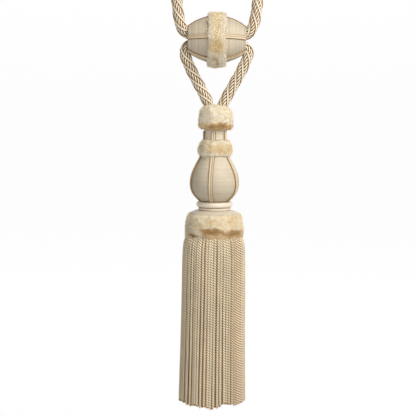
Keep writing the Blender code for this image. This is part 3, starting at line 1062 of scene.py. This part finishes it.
@dataclass(frozen=True)
class PileMaker:
    """Sets a coat of cut pile on a core, by Geometry Nodes.

    Attributes:
        seed: the seed of its random choices.
        length: a tuft's mean length, in millimetres.
        radius: its radius at the foot, in millimetres.
        density: tufts for each square millimetre.
        lean: how far tufts lean at random, in degrees.
    """

    seed: int
    length: float = 1.6
    radius: float = 0.13
    density: float = 2.2
    lean: float = 28.0

    def outward(self, draft: Draft, axis: Axis) -> Socket:
        """Whether a face looks away from the axis, where the pile is to grow."""
        place = draft.add("GeometryNodeInputPosition").outputs[0]
        centre = (0.0, 0.0, 0.0) if axis is Axis.TASSEL else (0.0, 0.0, -SLIDER_DROP * MM)
        across = (1.0, 1.0, 0.0) if axis is Axis.TASSEL else (0.0, 1.0, 1.0)
        away = draft.vector("SUBTRACT", place, centre).outputs[0]
        spoke = draft.vector("NORMALIZE", draft.stretched(away, across)).outputs[0]
        normal = draft.add("GeometryNodeInputNormal").outputs[0]
        facing = draft.vector("DOT_PRODUCT", normal, spoke).outputs["Value"]
        compare = draft.add(
            "FunctionNodeCompare", {0: facing, 1: -0.3}, operation="GREATER_THAN", data_type="FLOAT"
        )
        return compare.outputs[0]

    def store(self, draft: Draft, shape: Socket, name: str, value: Socket, domain: str) -> Socket:
        """Keeps a value on a shape under a name that the pile's finish reads."""
        node = draft.add(
            "GeometryNodeStoreNamedAttribute",
            {"Geometry": shape, "Name": name, "Value": value},
            data_type="FLOAT",
            domain=domain,
        )
        return node.outputs["Geometry"]

    def tuft(self, draft: Draft) -> Socket:
        """One tapered tuft, which knows how far up it each point is."""
        cone = draft.add(
            "GeometryNodeMeshCone",
            {
                "Vertices": 3,
                "Side Segments": 1,
                "Radius Top": 0.0,
                "Radius Bottom": self.radius * MM,
                "Depth": self.length * MM,
            },
            fill_type="NONE",
        )
        place = draft.add("GeometryNodeInputPosition").outputs[0]
        height = draft.add("ShaderNodeSeparateXYZ", {0: place}).outputs["Z"]
        share = draft.math("DIVIDE", height, self.length * MM)
        return self.store(draft, cone.outputs["Mesh"], "tip", share, "POINT")

    def tree(self, axis: Axis) -> bpy.types.NodeTree:
        """The geometry node group that makes the pile."""
        tree = bpy.data.node_groups.new("pile", "GeometryNodeTree")
        tree.interface.new_socket("Geometry", in_out="INPUT", socket_type="NodeSocketGeometry")
        tree.interface.new_socket("Geometry", in_out="OUTPUT", socket_type="NodeSocketGeometry")
        draft = Draft(tree)
        core = draft.add("NodeGroupInput").outputs["Geometry"]
        points = draft.add(
            "GeometryNodeDistributePointsOnFaces",
            {
                "Mesh": core,
                "Selection": self.outward(draft, axis),
                "Density": self.density / MM**2,
                "Seed": self.seed,
            },
            distribute_method="RANDOM",
        )
        lean = math.radians(self.lean)
        tilt = draft.add(
            "FunctionNodeRandomValue",
            {0: (-lean, -lean, -math.pi), 1: (lean, lean, math.pi), "Seed": self.seed + 1},
            data_type="FLOAT_VECTOR",
        )
        turned = draft.add(
            "FunctionNodeRotateRotation",
            {"Rotation": points.outputs["Rotation"], "Rotate By": tilt.outputs[0]},
            rotation_space="LOCAL",
        )
        size = draft.add(
            "FunctionNodeRandomValue", {2: 0.7, 3: 1.25, "Seed": self.seed + 2}, data_type="FLOAT"
        )
        stood = draft.add(
            "GeometryNodeInstanceOnPoints",
            {
                "Points": points.outputs["Points"],
                "Instance": self.tuft(draft),
                "Rotation": turned.outputs["Rotation"],
                "Scale": size.outputs[1],
            },
        )
        tone = draft.add(
            "FunctionNodeRandomValue", {2: 0.0, 3: 1.0, "Seed": self.seed + 3}, data_type="FLOAT"
        )
        toned = self.store(draft, stood.outputs["Instances"], "tone", tone.outputs[1], "INSTANCE")
        real = draft.add("GeometryNodeRealizeInstances", {"Geometry": toned})
        both = draft.tree.nodes.new("GeometryNodeJoinGeometry")
        draft.tree.links.new(core, both.inputs[0])
        draft.tree.links.new(real.outputs["Geometry"], both.inputs[0])
        draft.add("NodeGroupOutput", {"Geometry": both.outputs[0]})
        return tree

    def grow(self, core: bpy.types.Object, axis: Axis) -> None:
        """Grows the pile on a core and makes it real."""
        coat = core.modifiers.new("pile", "NODES")
        coat.node_group = self.tree(axis)
        clear_selection()
        core.select_set(True)
        bpy.context.view_layer.objects.active = core
        bpy.ops.object.modifier_apply(modifier=coat.name)


def lumpy(obj: bpy.types.Object, strength: float, size: float) -> None:
    """Gives a core uneven swellings.

    Args:
        obj: the core.
        strength: how far they go, in millimetres.
        size: how wide they are, in millimetres.
    """
    clouds = bpy.data.textures.new(f"{obj.name}_lumps", "CLOUDS")
    clouds.noise_scale = size * MM
    swell = obj.modifiers.new("lumps", "DISPLACE")
    swell.texture = clouds
    swell.texture_coords = "LOCAL"
    swell.strength = strength * MM
    swell.mid_level = 0.5
    clear_selection()
    obj.select_set(True)
    bpy.context.view_layer.objects.active = obj
    bpy.ops.object.modifier_apply(modifier=swell.name)


RUFF_STEPS = 120  # steps round a ruff's core
RUFF_LUMPS = ((3.0, 8.0), (1.7, 3.4))  # how high and how wide its swellings are, in millimetres


def make_ruff(
    name: str,
    section: Outline,
    axis: Axis,
    pile: PileMaker,
    finish: PileFinish,
    node: str,
) -> None:
    """A pile ruff: a lumpy turned core with its coat.

    Args:
        name: the piece's name.
        section: the core's closed section, in millimetres.
        axis: the axis that it goes round.
        pile: the coat's maker.
        finish: the pile's finish.
        node: the CAD node that it stands for.
    """
    core = lathe(name, rounded(section, 1.2), axis, RUFF_STEPS, closed=True)
    for strength, size in RUFF_LUMPS:
        lumpy(core, strength, size)
    pile.grow(core, axis)
    settle(core, finish.material(), "pile", node)


# ---------------------------------------------------------------------------------------------------------
# Wound bodies, gimps and rings


def winding(outline: Outline, pitch: float, ridge: float) -> Outline:
    """An outline with a ridge for each turn of thread.

    Args:
        outline: places along the axis with radii, in millimetres.
        pitch: the threads' spacing along the axis.
        ridge: how high a thread stands over the valley beside it.

    Returns:
        The ridged outline, its crests at whole multiples of the pitch.
    """
    places = [spot[0] for spot in outline]
    radii = [spot[1] for spot in outline]
    first = math.ceil(2 * places[0] / pitch)
    last = math.floor(2 * places[-1] / pitch)
    chance = random.Random(7)
    made = []
    for k in range(first, last + 1):
        along = k * pitch / 2
        radius = float(np.interp(along, places, radii)) + chance.uniform(-0.03, 0.03)
        made.append((along, radius + (ridge / 2 if k % 2 == 0 else -ridge / 2)))
    return made


GIMP_RADIUS = 1.24
GIMP_HALF_SPACING = 1.14  # from the middle of a pair to the middle of one of its cords


def gimp_pair(
    name: str, spine: np.ndarray, outward: np.ndarray, finish: bpy.types.Material, node: str
) -> None:
    """Two smooth cords side by side on a surface.

    Args:
        name: the piece's name.
        spine: the line on the surface that the pair follows, in metres.
        outward: the surface's outward directions.
        finish: the cords' material.
        node: the CAD node that the pair stands for.
    """
    radius = GIMP_RADIUS * MM
    guide = Guide(spine, outward)
    mesh = YarnMesh(name)
    for sign in (-1, 1):
        middle = spine + sign * GIMP_HALF_SPACING * MM * guide.across
        cord = Guide(middle, guide.side)
        foot = middle - radius * cord.side
        top = spine + 0.7 * radius * guide.side
        # painted shade: darker towards the cord's foot and on its flank away from the pair's middle
        mesh.yarn(cord, radius, 12, [(foot, 1.1 * radius, 1.85 * radius), (top, 1.7 * radius, 1.2 * radius)])
    settle(mesh.finish(), finish, "gimp", node)


@dataclass
class Slider:
    """The barrel on the rope, its gimps and its ruff. Sizes are in millimetres."""

    bore_radius: float = 11.0
    gimp_angles: tuple[float, ...] = (100.0, 7.5, -55.0, -124.0, -194.0)
    gimp_reach: float = 28.2
    outline: Table = (
        (-SLIDER_HALF_LENGTH, 11.9),
        (-27.0, 13.6), (-20.5, 17.8), (-10.0, 21.9), (0.0, 23.2), (10.0, 21.9), (20.5, 17.8), (27.0, 13.6),
        (SLIDER_HALF_LENGTH, 11.9),
    )
    ruff_half_width: float = 8.4
    ruff_inner: float = 23.0
    ruff_outer: float = 26.2

    def barrel(self) -> None:
        """Builds the wound barrel with its bore."""
        outer = winding(rounded(self.outline, 1.0), THREAD_PITCH, 0.18)
        section = [(outer[0][0], self.bore_radius), *outer, (outer[-1][0], self.bore_radius)]
        # the deep colour is painted shade in the valleys between turns
        finish = WoundFinish(
            "wound_barrel", srgb(220, 207, 184), srgb(152, 132, 101), 0.62, 0.0, Axis.SLIDER, 0.82
        )
        barrel = lathe("wound_barrel", section, Axis.SLIDER, 72, closed=True)
        settle(barrel, finish.material(), "wound_yarn", "slider_barrel")

    def gimps(self, finish: bpy.types.Material) -> None:
        """Lays the five pairs of gimp along the barrel."""
        curve = [spot for spot in rounded(self.outline, 1.2) if abs(spot[0]) <= self.gimp_reach]
        for number, degrees in enumerate(self.gimp_angles, 1):
            angle = math.radians(degrees)
            out = np.array([0.0, -math.cos(angle), math.sin(angle)])
            spine = np.array(
                [
                    (x * MM, -r * MM * math.cos(angle), (r * math.sin(angle) - SLIDER_DROP) * MM)
                    for x, r in curve
                ]
            )
            gimp_pair(
                f"slider_trim_{number}", spine, np.tile(out, (len(spine), 1)), finish, f"slider_gimp_{number}"
            )

    def ruff(self) -> None:
        """Builds the ruff round the barrel's middle."""
        half, inner, outer = self.ruff_half_width, self.ruff_inner, self.ruff_outer
        section = [
            (-half + 1.0, inner - 0.2),
            (-half + 0.1, inner),
            (-half + 0.3, outer - 0.9),
            (-half + 2.2, outer - 0.1),
            (-half / 2, outer + 0.3),
            (0.0, outer + 0.3),
            (half / 2, outer + 0.3),
            (half - 2.2, outer - 0.1),
            (half - 0.3, outer - 0.9),
            (half - 0.1, inner),
            (half - 1.0, inner - 0.2),
        ]
        finish = PileFinish(
            "slider_pile",
            srgb(246, 237, 219),
            srgb(240, 226, 200),
            PILE_ROUGHNESS,
            PILE_SHEEN,
            Axis.SLIDER,
            (Band(srgb(244, 226, 181), -5.0, 5.2, share=0.8),),
            (
                Patch(srgb(248, 238, 216), (1.0, -18.0, 103.0), (10.0, 18.0, 8.4), 0.9),
                Patch(srgb(218, 190, 140), (-1.2, -22.0, 68.0), (0.8, 12.0, 17.0), 0.6),
                Patch(srgb(218, 190, 140), (2.1, -22.0, 72.0), (0.7, 12.0, 20.0), 0.55),
                Patch(srgb(226, 200, 148), (-0.6, -25.0, 87.4), (8.6, 10.0, 8.6), 0.7),
                Patch(srgb(208, 168, 114), (2.4, -25.0, 86.4), (2.6, 6.0, 4.4), 0.25),
                Patch(srgb(248, 236, 212), (1.0, -24.0, 94.4), (8.0, 6.0, 1.8), 0.7),
                # painted shade: the next two brown patches, low at the ruff's middle, stand for the shade in
                # the crease between its lower lobes
                Patch(srgb(176, 142, 100), (-2.4, -20.0, 99.5), (3.4, 10.0, 3.0), 0.55),
                Patch(srgb(186, 156, 116), (0.8, -14.0, 104.0), (1.6, 14.0, 5.0), 0.5),
            ),
        )
        make_ruff("slider_pile", section, Axis.SLIDER, PileMaker(11), finish, "slider_ruff")

    def build(self, gimp: bpy.types.Material) -> None:
        """Builds the whole slider.

        Args:
            gimp: the gimps' material.
        """
        self.barrel()
        self.gimps(gimp)
        self.ruff()


@dataclass
class Head:
    """The turned head under the rope: mould, gimps, ruffs, rings and shoulder. Sizes are in millimetres."""

    gimp_runs: Table = (
        (-75.0, -75.0), (-10.5, -10.5), (57.0, 62.0), (131.0, 131.0), (208.0, 208.0),
    )
    neck: Table = ((160.4, 11.3), (170.0, 11.3), (180.0, 11.3))
    bulb: Table = (
        (180.0, 11.3), (187.5, 11.9), (196.2, 15.0), (204.0, 19.2), (212.3, 22.8), (218.5, 24.1),
        (223.7, 24.2), (229.5, 22.8), (234.2, 19.6), (238.0, 15.8), (239.3, 14.3),
    )

    def outline(self) -> Outline:
        """The mould's outline from the neck to the rings."""
        return [*self.neck[:-1], *rounded(self.bulb, 1.2)]

    def mould(self) -> None:
        """Builds the wound neck and bulb."""
        wound = winding(self.outline(), THREAD_PITCH, 0.14)
        profile = [(wound[0][0], 0.0), *wound, (wound[-1][0], 0.0)]
        # painted shade: the lower bulb darker, as less light falls there
        painted_shade_below = (196.0, 222.0, 0.86)
        # the deep colour is painted shade in the valleys between turns
        finish = WoundFinish(
            "wound_mould", srgb(232, 219, 194), srgb(164, 143, 112), 0.62, 0.0, Axis.TASSEL, 0.9, painted_shade_below
        )
        settle(lathe("wound_mould", profile, Axis.TASSEL, 80), finish.material(), "wound_yarn", "mould")

    def gimps(self, finish: bpy.types.Material) -> None:
        """Lays the five pairs of gimp down the neck and the bulb."""
        kept = [spot for spot in self.outline() if 161.0 < spot[0] < 239.2]
        drop, radius = np.array(kept).T
        share = (drop - drop[0]) / (drop[-1] - drop[0])
        for number, (top, bottom) in enumerate(self.gimp_runs, 1):
            angle = np.radians(top + share * (bottom - top))
            outward = np.stack([np.sin(angle), -np.cos(angle), np.zeros(len(kept))], axis=1)
            spine = radius[:, None] * outward * MM
            spine[:, 2] = -drop * MM
            gimp_pair(f"mould_trim_{number}", spine, outward, finish, f"mould_gimp_{number}")

    def head_ruff(self) -> None:
        """Builds the domed ruff that the rope goes into."""
        section = [
            (145.3, 3.0), (145.5, 9.4), (146.6, 12.4), (149.0, 14.6), (152.5, 15.9), (156.5, 16.4),
            (160.2, 16.6), (161.4, 16.1), (163.2, 16.9), (165.8, 16.0), (167.7, 13.9), (168.0, 12.2),
            (159.0, 12.4), (158.0, 3.0),
        ]
        finish = PileFinish(
            "head_pile",
            srgb(255, 247, 228),
            srgb(246, 231, 200),
            PILE_ROUGHNESS,
            PILE_SHEEN,
            Axis.TASSEL,
            (
                Band(srgb(238, 208, 156), 162.0, 176.0, share=0.95),
                Band(srgb(204, 164, 102), 163.0, 170.0, left=-10.0, share=0.7),
            ),
            (
                Patch(srgb(232, 222, 200), (-12.0, -10.0, 153.0), (5.0, 9.0, 8.0), 0.5),
                Patch(srgb(176, 130, 70), (6.0, -15.0, 163.8), (6.0, 8.0, 3.0), 0.85),
                Patch(srgb(184, 140, 82), (-3.5, -16.0, 164.8), (5.0, 8.0, 2.6), 0.6),
            ),
        )
        make_ruff("head_pile", section, Axis.TASSEL, PileMaker(21), finish, "head_ruff")

    def neck_ruff(self) -> None:
        """Builds the ruff between the neck and the bulb."""
        section = [
            (178.6, 11.8), (179.6, 12.9), (182.0, 14.6), (185.5, 15.9), (189.0, 16.4), (192.0, 16.2),
            (194.0, 15.9), (194.2, 15.0), (188.0, 13.0), (183.0, 12.4),
        ]
        finish = PileFinish(
            "neck_pile",
            srgb(254, 246, 226),
            srgb(243, 228, 198),
            PILE_ROUGHNESS,
            PILE_SHEEN,
            Axis.TASSEL,
            (Band(srgb(238, 213, 163), 182.4, 191.6, left=-9.0, share=0.85),),
            (
                Patch(srgb(214, 194, 162), (-13.5, -10.0, 185.5), (4.6, 8.0, 5.6), 0.6),
                Patch(srgb(214, 176, 116), (4.0, -16.0, 188.4), (6.0, 6.0, 1.4), 0.5),
                Patch(srgb(252, 246, 232), (13.0, -11.0, 181.0), (2.4, 5.0, 1.8), 0.8),
                Patch(srgb(250, 242, 226), (-9.6, -14.0, 191.6), (2.2, 5.0, 1.6), 0.7),
            ),
        )
        make_ruff("neck_pile", section, Axis.TASSEL, PileMaker(31), finish, "neck_ruff")

    def rings(self) -> None:
        """Builds the two satin rings and the satin shoulder under them."""
        # painted shade: tan in the groove under the bulb and in the groove between the two rings
        grooves = ((239.9, 0.8), (245.4, 0.6))
        satin = SatinFinish(
            "satin", srgb(238, 230, 212), srgb(196, 168, 126), 0.3, 0.0, 150, grooves
        ).material()
        # the shoulder's deep colour is painted shade between its threads
        cloth = SatinFinish(
            "shoulder_satin", srgb(220, 208, 187), srgb(176, 156, 124), 0.4, 0.0, 170
        ).material()
        large = [(242.9 - 3.1 * math.sin(a), 14.8 + 3.4 * math.cos(a)) for a in np.linspace(1.5, -1.0, 15)]
        small = [(247.2 - 1.4 * math.sin(a), 14.8 + 1.5 * math.cos(a)) for a in np.linspace(1.3, -1.3, 9)]
        flare = rounded(
            [(248.5, 14.8), (249.2, 18.6), (250.2, 21.4), (251.4, 23.2), (253.6, 24.2), (255.5, 24.6)], 0.8
        )
        for name, outer, finish, node in (
            ("satin_ring", large, satin, "ring_large"),
            ("satin_band", small, satin, "ring_small"),
            ("satin_shoulder", flare, cloth, "shoulder"),
        ):
            profile = [(outer[0][0], 0.0), *outer, (outer[-1][0], 0.0)]
            settle(lathe(name, profile, Axis.TASSEL, 96), finish, "satin", node)

    def build(self, gimp: bpy.types.Material) -> None:
        """Builds the whole head.

        Args:
            gimp: the gimps' material.
        """
        self.mould()
        self.gimps(gimp)
        self.head_ruff()
        self.neck_ruff()
        self.rings()


# ---------------------------------------------------------------------------------------------------------
# Skirt


@dataclass(frozen=True)
class CordRing:
    """One ring of the skirt's bullion cords, sizes in millimetres.

    Attributes:
        role: how closely it is seen.
        count: how many cords it has.
        phase: where its first cord hangs, as a share of the cords' spacing.
        inset: how far inside the outermost ring it hangs.
        thickness: how thick its strands are, as a share of the front ones.
        pitch: how far a strand falls in one turn of the twist.
        steps: cross-sections for each turn of the twist.
        sides: sides of a strand.
        pieces: how many pieces the ring is made as.
    """

    role: Role
    count: int
    phase: float
    inset: float
    thickness: float
    pitch: float
    steps: int
    sides: int
    pieces: int


@dataclass
class Skirt:
    """The skirt's ruff and its bullion fringe. Sizes are in millimetres."""

    strand_radius: float = 0.81
    twist_radius: float = 0.8
    shade_from: float = 6.0
    root_drop: float = 268.0
    end_drop: float = 442.0
    hang: Table = (
        (268.0, 23.4), (272.0, 24.8), (276.0, 26.9), (278.0, 28.1), (282.0, 29.2), (290.0, 30.0),
        (300.0, 30.2), (341.0, 30.6), (384.0, 31.2), (450.0, 32.6),
    )
    hem: Table = (
        (-180.0, -0.6), (-90.0, -0.9), (-58.0, -1.8), (-42.0, 0.4), (-30.0, -1.4), (-22.0, 0.0),
        (-10.0, -0.8), (-2.0, 1.4), (4.0, 0.6), (10.0, -0.8), (17.0, -3.2), (34.0, -3.4), (46.0, -1.2),
        (60.0, -1.7), (80.0, -1.2), (180.0, -0.6),
    )
    rings: tuple[CordRing, ...] = (
        CordRing(Role.FRONT, 62, 0.5, 0.0, 1.0, 4.9, 8, 5, 4),
        CordRing(Role.BEHIND, 62, 0.0, 2.3, 1.2, 5.3, 4, 4, 2),
        CordRing(Role.INNERMOST, 54, 0.25, 5.3, 1.65, 5.3, 4, 4, 1),
    )
    # share of the front cords' painted flank shade, by drop: weaker high up
    flank_shade_by_drop: Table = ((272.0, 0.25), (300.0, 0.6), (345.0, 1.0))
    looseness: Table = (
        (-180.0, 0.7), (-72.0, 0.5), (-60.0, 0.9), (28.0, 0.9), (34.0, 0.8), (38.0, 0.15), (64.0, 0.15),
        (71.0, 1.0), (180.0, 0.7),
    )

    def ends_at(self, angle: float, chance: random.Random) -> float:
        """The drop of a cord's end: longest at the front, uneven all round."""
        degrees = math.degrees(math.remainder(angle, math.tau))
        extra = float(np.interp(degrees, *zip(*self.hem)))
        return self.end_drop + extra + chance.gauss(0.0, 0.6)

    def loose_at(self, angle: float, ring: CordRing) -> float:
        """How loosely a ring's cords hang side by side at an angle, 0 close and 1 with gaps, which also sets
        their painted shade: looser cords get more on their flanks, closer ones more in their twist grooves.
        """
        degrees = math.degrees(math.remainder(angle, math.tau))
        loose = float(np.interp(degrees, *zip(*self.looseness)))
        return loose if ring.role is Role.FRONT else 0.35 * loose

    def cord(self, mesh: YarnMesh, ring: CordRing, angle: float, chance: random.Random) -> None:
        """Adds one bullion cord: a strand that goes down, round its own end and back up, twisted on itself.

        Args:
            mesh: the mesh it goes into.
            ring: the ring it hangs in.
            angle: its place round the skirt, to the right of the front.
            chance: the source of its unevenness.
        """
        drops, radii = zip(*self.hang)
        end = self.ends_at(angle, chance)
        count = max(8, round((end - self.root_drop) / ring.pitch * ring.steps))
        drop = np.linspace(self.root_drop, end, count)
        fall = (drop - self.root_drop) / (self.end_drop - self.root_drop)
        loose = self.loose_at(angle, ring)
        sway_phase, sway = chance.uniform(0.0, math.tau), chance.gauss(0.0, 0.3) * loose
        drift = sway * fall + 0.2 * loose * np.sin(fall * 5.0 + sway_phase) * np.clip(fall * 3.0, 0.0, 1.0)
        push = chance.gauss(0.0, 0.3) * loose * np.clip(fall * 4.0, 0.0, 1.0)
        radius = np.interp(drop, drops, radii) - ring.inset + push
        turn = angle + drift / radius
        line = np.stack([radius * np.sin(turn), -radius * np.cos(turn), -drop], axis=1) * MM
        right = np.stack([np.cos(turn), np.sin(turn), np.zeros(count)], axis=1)
        heart = Guide(line, right)
        start = chance.uniform(0.0, math.tau)
        down = heart.wound(self.twist_radius * MM, start, -ring.pitch * MM)
        up = heart.wound(self.twist_radius * MM, start + math.pi, -ring.pitch * MM)
        spoke = unit(down.line[-1:] - line[-1:])[0]
        bend = np.linspace(0.0, math.pi, 7)[1:-1]
        out = np.cos(bend)[:, None] * spoke + np.sin(bend)[:, None] * heart.ahead[-1]
        loop = line[-1] + self.twist_radius * MM * out
        path = Guide(
            np.concatenate([down.line, loop, up.line[::-1]]),
            np.concatenate([down.side, out, up.side[::-1]]),
        )
        middle = np.concatenate([line, np.tile(line[-1], (len(bend), 1)), line[::-1]])
        strand = self.strand_radius * ring.thickness
        reach = (self.twist_radius + strand) * MM
        # painted shade: a front cord darkens in its twist grooves, measured from its middle, and on the flanks
        # that face its neighbours, measured from a line outside it
        if ring.role is Role.FRONT:
            before = middle + self.shade_from * MM * np.array([math.sin(angle), -math.cos(angle), 0.0])
            apart = loose * np.interp(-middle[:, 2:3] / MM, *zip(*self.flank_shade_by_drop))
            far, near = (self.shade_from + 1.5 - 1.3 * apart) * MM, (self.shade_from + 0.3 - 0.7 * apart) * MM
            depths = [(middle, 0.1 * reach, (1.1 - 0.1 * loose) * reach), (before, far, near)]
        else:
            # painted shade: the hidden rings' cords stay mostly in the deep colour, standing for the shade in
            # the gaps between the front cords
            depths = [(middle, 0.2 * reach, 1.15 * reach)]
        mesh.yarn(path, strand * MM, ring.sides, depths, chance.random())

    def fringe(self, finish: bpy.types.Material, inner: bpy.types.Material) -> None:
        """Builds the rings of cords, in pieces.

        Args:
            finish: the material of the front cords.
            inner: the material of the cords behind them, a darker, warmer copy that paints the shade in the
                gaps between the front cords.
        """
        chance = random.Random(19)
        for ring in self.rings:
            meshes = [YarnMesh(f"bullion_{ring.role.value}_{k + 1}") for k in range(ring.pieces)]
            for k in range(ring.count):
                angle = math.tau * (k + ring.phase) / ring.count
                angle += math.tau * chance.gauss(0.0, 0.12) * self.loose_at(angle, ring) / ring.count
                self.cord(meshes[k * ring.pieces // ring.count], ring, angle, chance)
            for mesh in meshes:
                settle(mesh.finish(), finish if ring.role is Role.FRONT else inner, "bullion", "skirt")

    def heading(self, finish: bpy.types.Material) -> None:
        """Builds the band that the cords are sewn to, which the ruff covers."""
        profile = [(256.0, 0.0), (256.0, 25.3), (262.0, 25.6), (270.0, 25.2), (271.4, 24.0), (271.4, 0.0)]
        settle(lathe("skirt_heading", profile, Axis.TASSEL, 80), finish, "bullion")

    def ruff(self) -> None:
        """Builds the large ruff round the top of the skirt."""
        section = [
            (251.8, 23.7), (252.6, 24.9), (255.2, 26.3), (259.5, 27.4), (265.5, 28.1), (271.0, 28.0),
            (275.4, 27.6), (276.8, 26.1), (268.0, 25.7), (260.0, 25.6),
        ]
        finish = PileFinish(
            "skirt_pile",
            srgb(255, 246, 222),
            srgb(246, 228, 192),
            PILE_ROUGHNESS,
            PILE_SHEEN,
            Axis.TASSEL,
            (Band(srgb(218, 188, 140), 267.4, 284.0, left=-12.0, share=0.95),),
            (
                Patch(srgb(236, 226, 204), (-23.0, -14.0, 262.0), (7.0, 12.0, 10.0), 0.6),
                Patch(srgb(242, 216, 168), (18.0, -20.0, 256.5), (9.0, 10.0, 4.6), 0.45),
                Patch(srgb(242, 216, 166), (-3.0, -27.0, 258.0), (9.0, 8.0, 3.8), 0.5),
                Patch(srgb(190, 146, 80), (-3.0, -27.5, 267.4), (12.5, 9.0, 4.0), 0.9),
                Patch(srgb(188, 146, 80), (19.0, -20.0, 269.4), (12.0, 11.0, 4.0), 0.75),
                Patch(srgb(250, 234, 204), (10.5, -26.0, 265.2), (2.8, 6.0, 2.2), 0.6),
                # the dark brown patch low on the ruff's left: partly its darker pile, partly painted shadow
                # between its tufts and the cords below
                Patch(srgb(150, 112, 68), (-21.0, -19.0, 272.6), (8.0, 9.0, 2.0), 0.75),
                Patch(srgb(232, 208, 168), (6.0, -28.0, 272.4), (4.0, 6.0, 1.8), 0.6),
            ),
        )
        make_ruff("skirt_pile", section, Axis.TASSEL, PileMaker(41, 1.8, 0.14), finish, "skirt_ruff")

    def build(self) -> None:
        """Builds the whole skirt."""
        # the deep brown is painted shade in the cords' twist grooves and on their flanks
        bullion = PliedFinish(
            "bullion", srgb(255, 243, 211), srgb(160, 112, 54), 0.4, 0.0, 0.6, 0.96, 0.2
        ).material()
        # painted shade: the cords behind take a darker, warmer copy of the bullion finish
        inner = PliedFinish("bullion_gap_shade", srgb(250, 216, 160), srgb(190, 122, 50), 0.5, 0.0, 0.4, 1.0, 0.2)
        self.fringe(bullion, inner.material())
        self.heading(bullion)
        self.ruff()


def main() -> None:
    """Builds the studio and every piece of the tassel."""
    logging.basicConfig(level=logging.INFO, format="%(message)s")
    Studio().build()
    # the deep brown is painted shade between the rope's yarns and at the smooth cords' edges
    rope_finish = PliedFinish("rope_yarn", srgb(255, 245, 222), srgb(156, 118, 68), 0.38, 0.0, 0.1, 0.85)
    Rope().build(rope_finish.material())
    # the deep tan is partly the cords' own tan, partly painted shade at their foot
    gimp = GimpFinish("gimp", srgb(216, 197, 165), srgb(146, 112, 70), 0.45, 0.0).material()
    Slider().build(gimp)
    Head().build(gimp)
    Skirt().build()


if __name__ == "__main__":
    main()
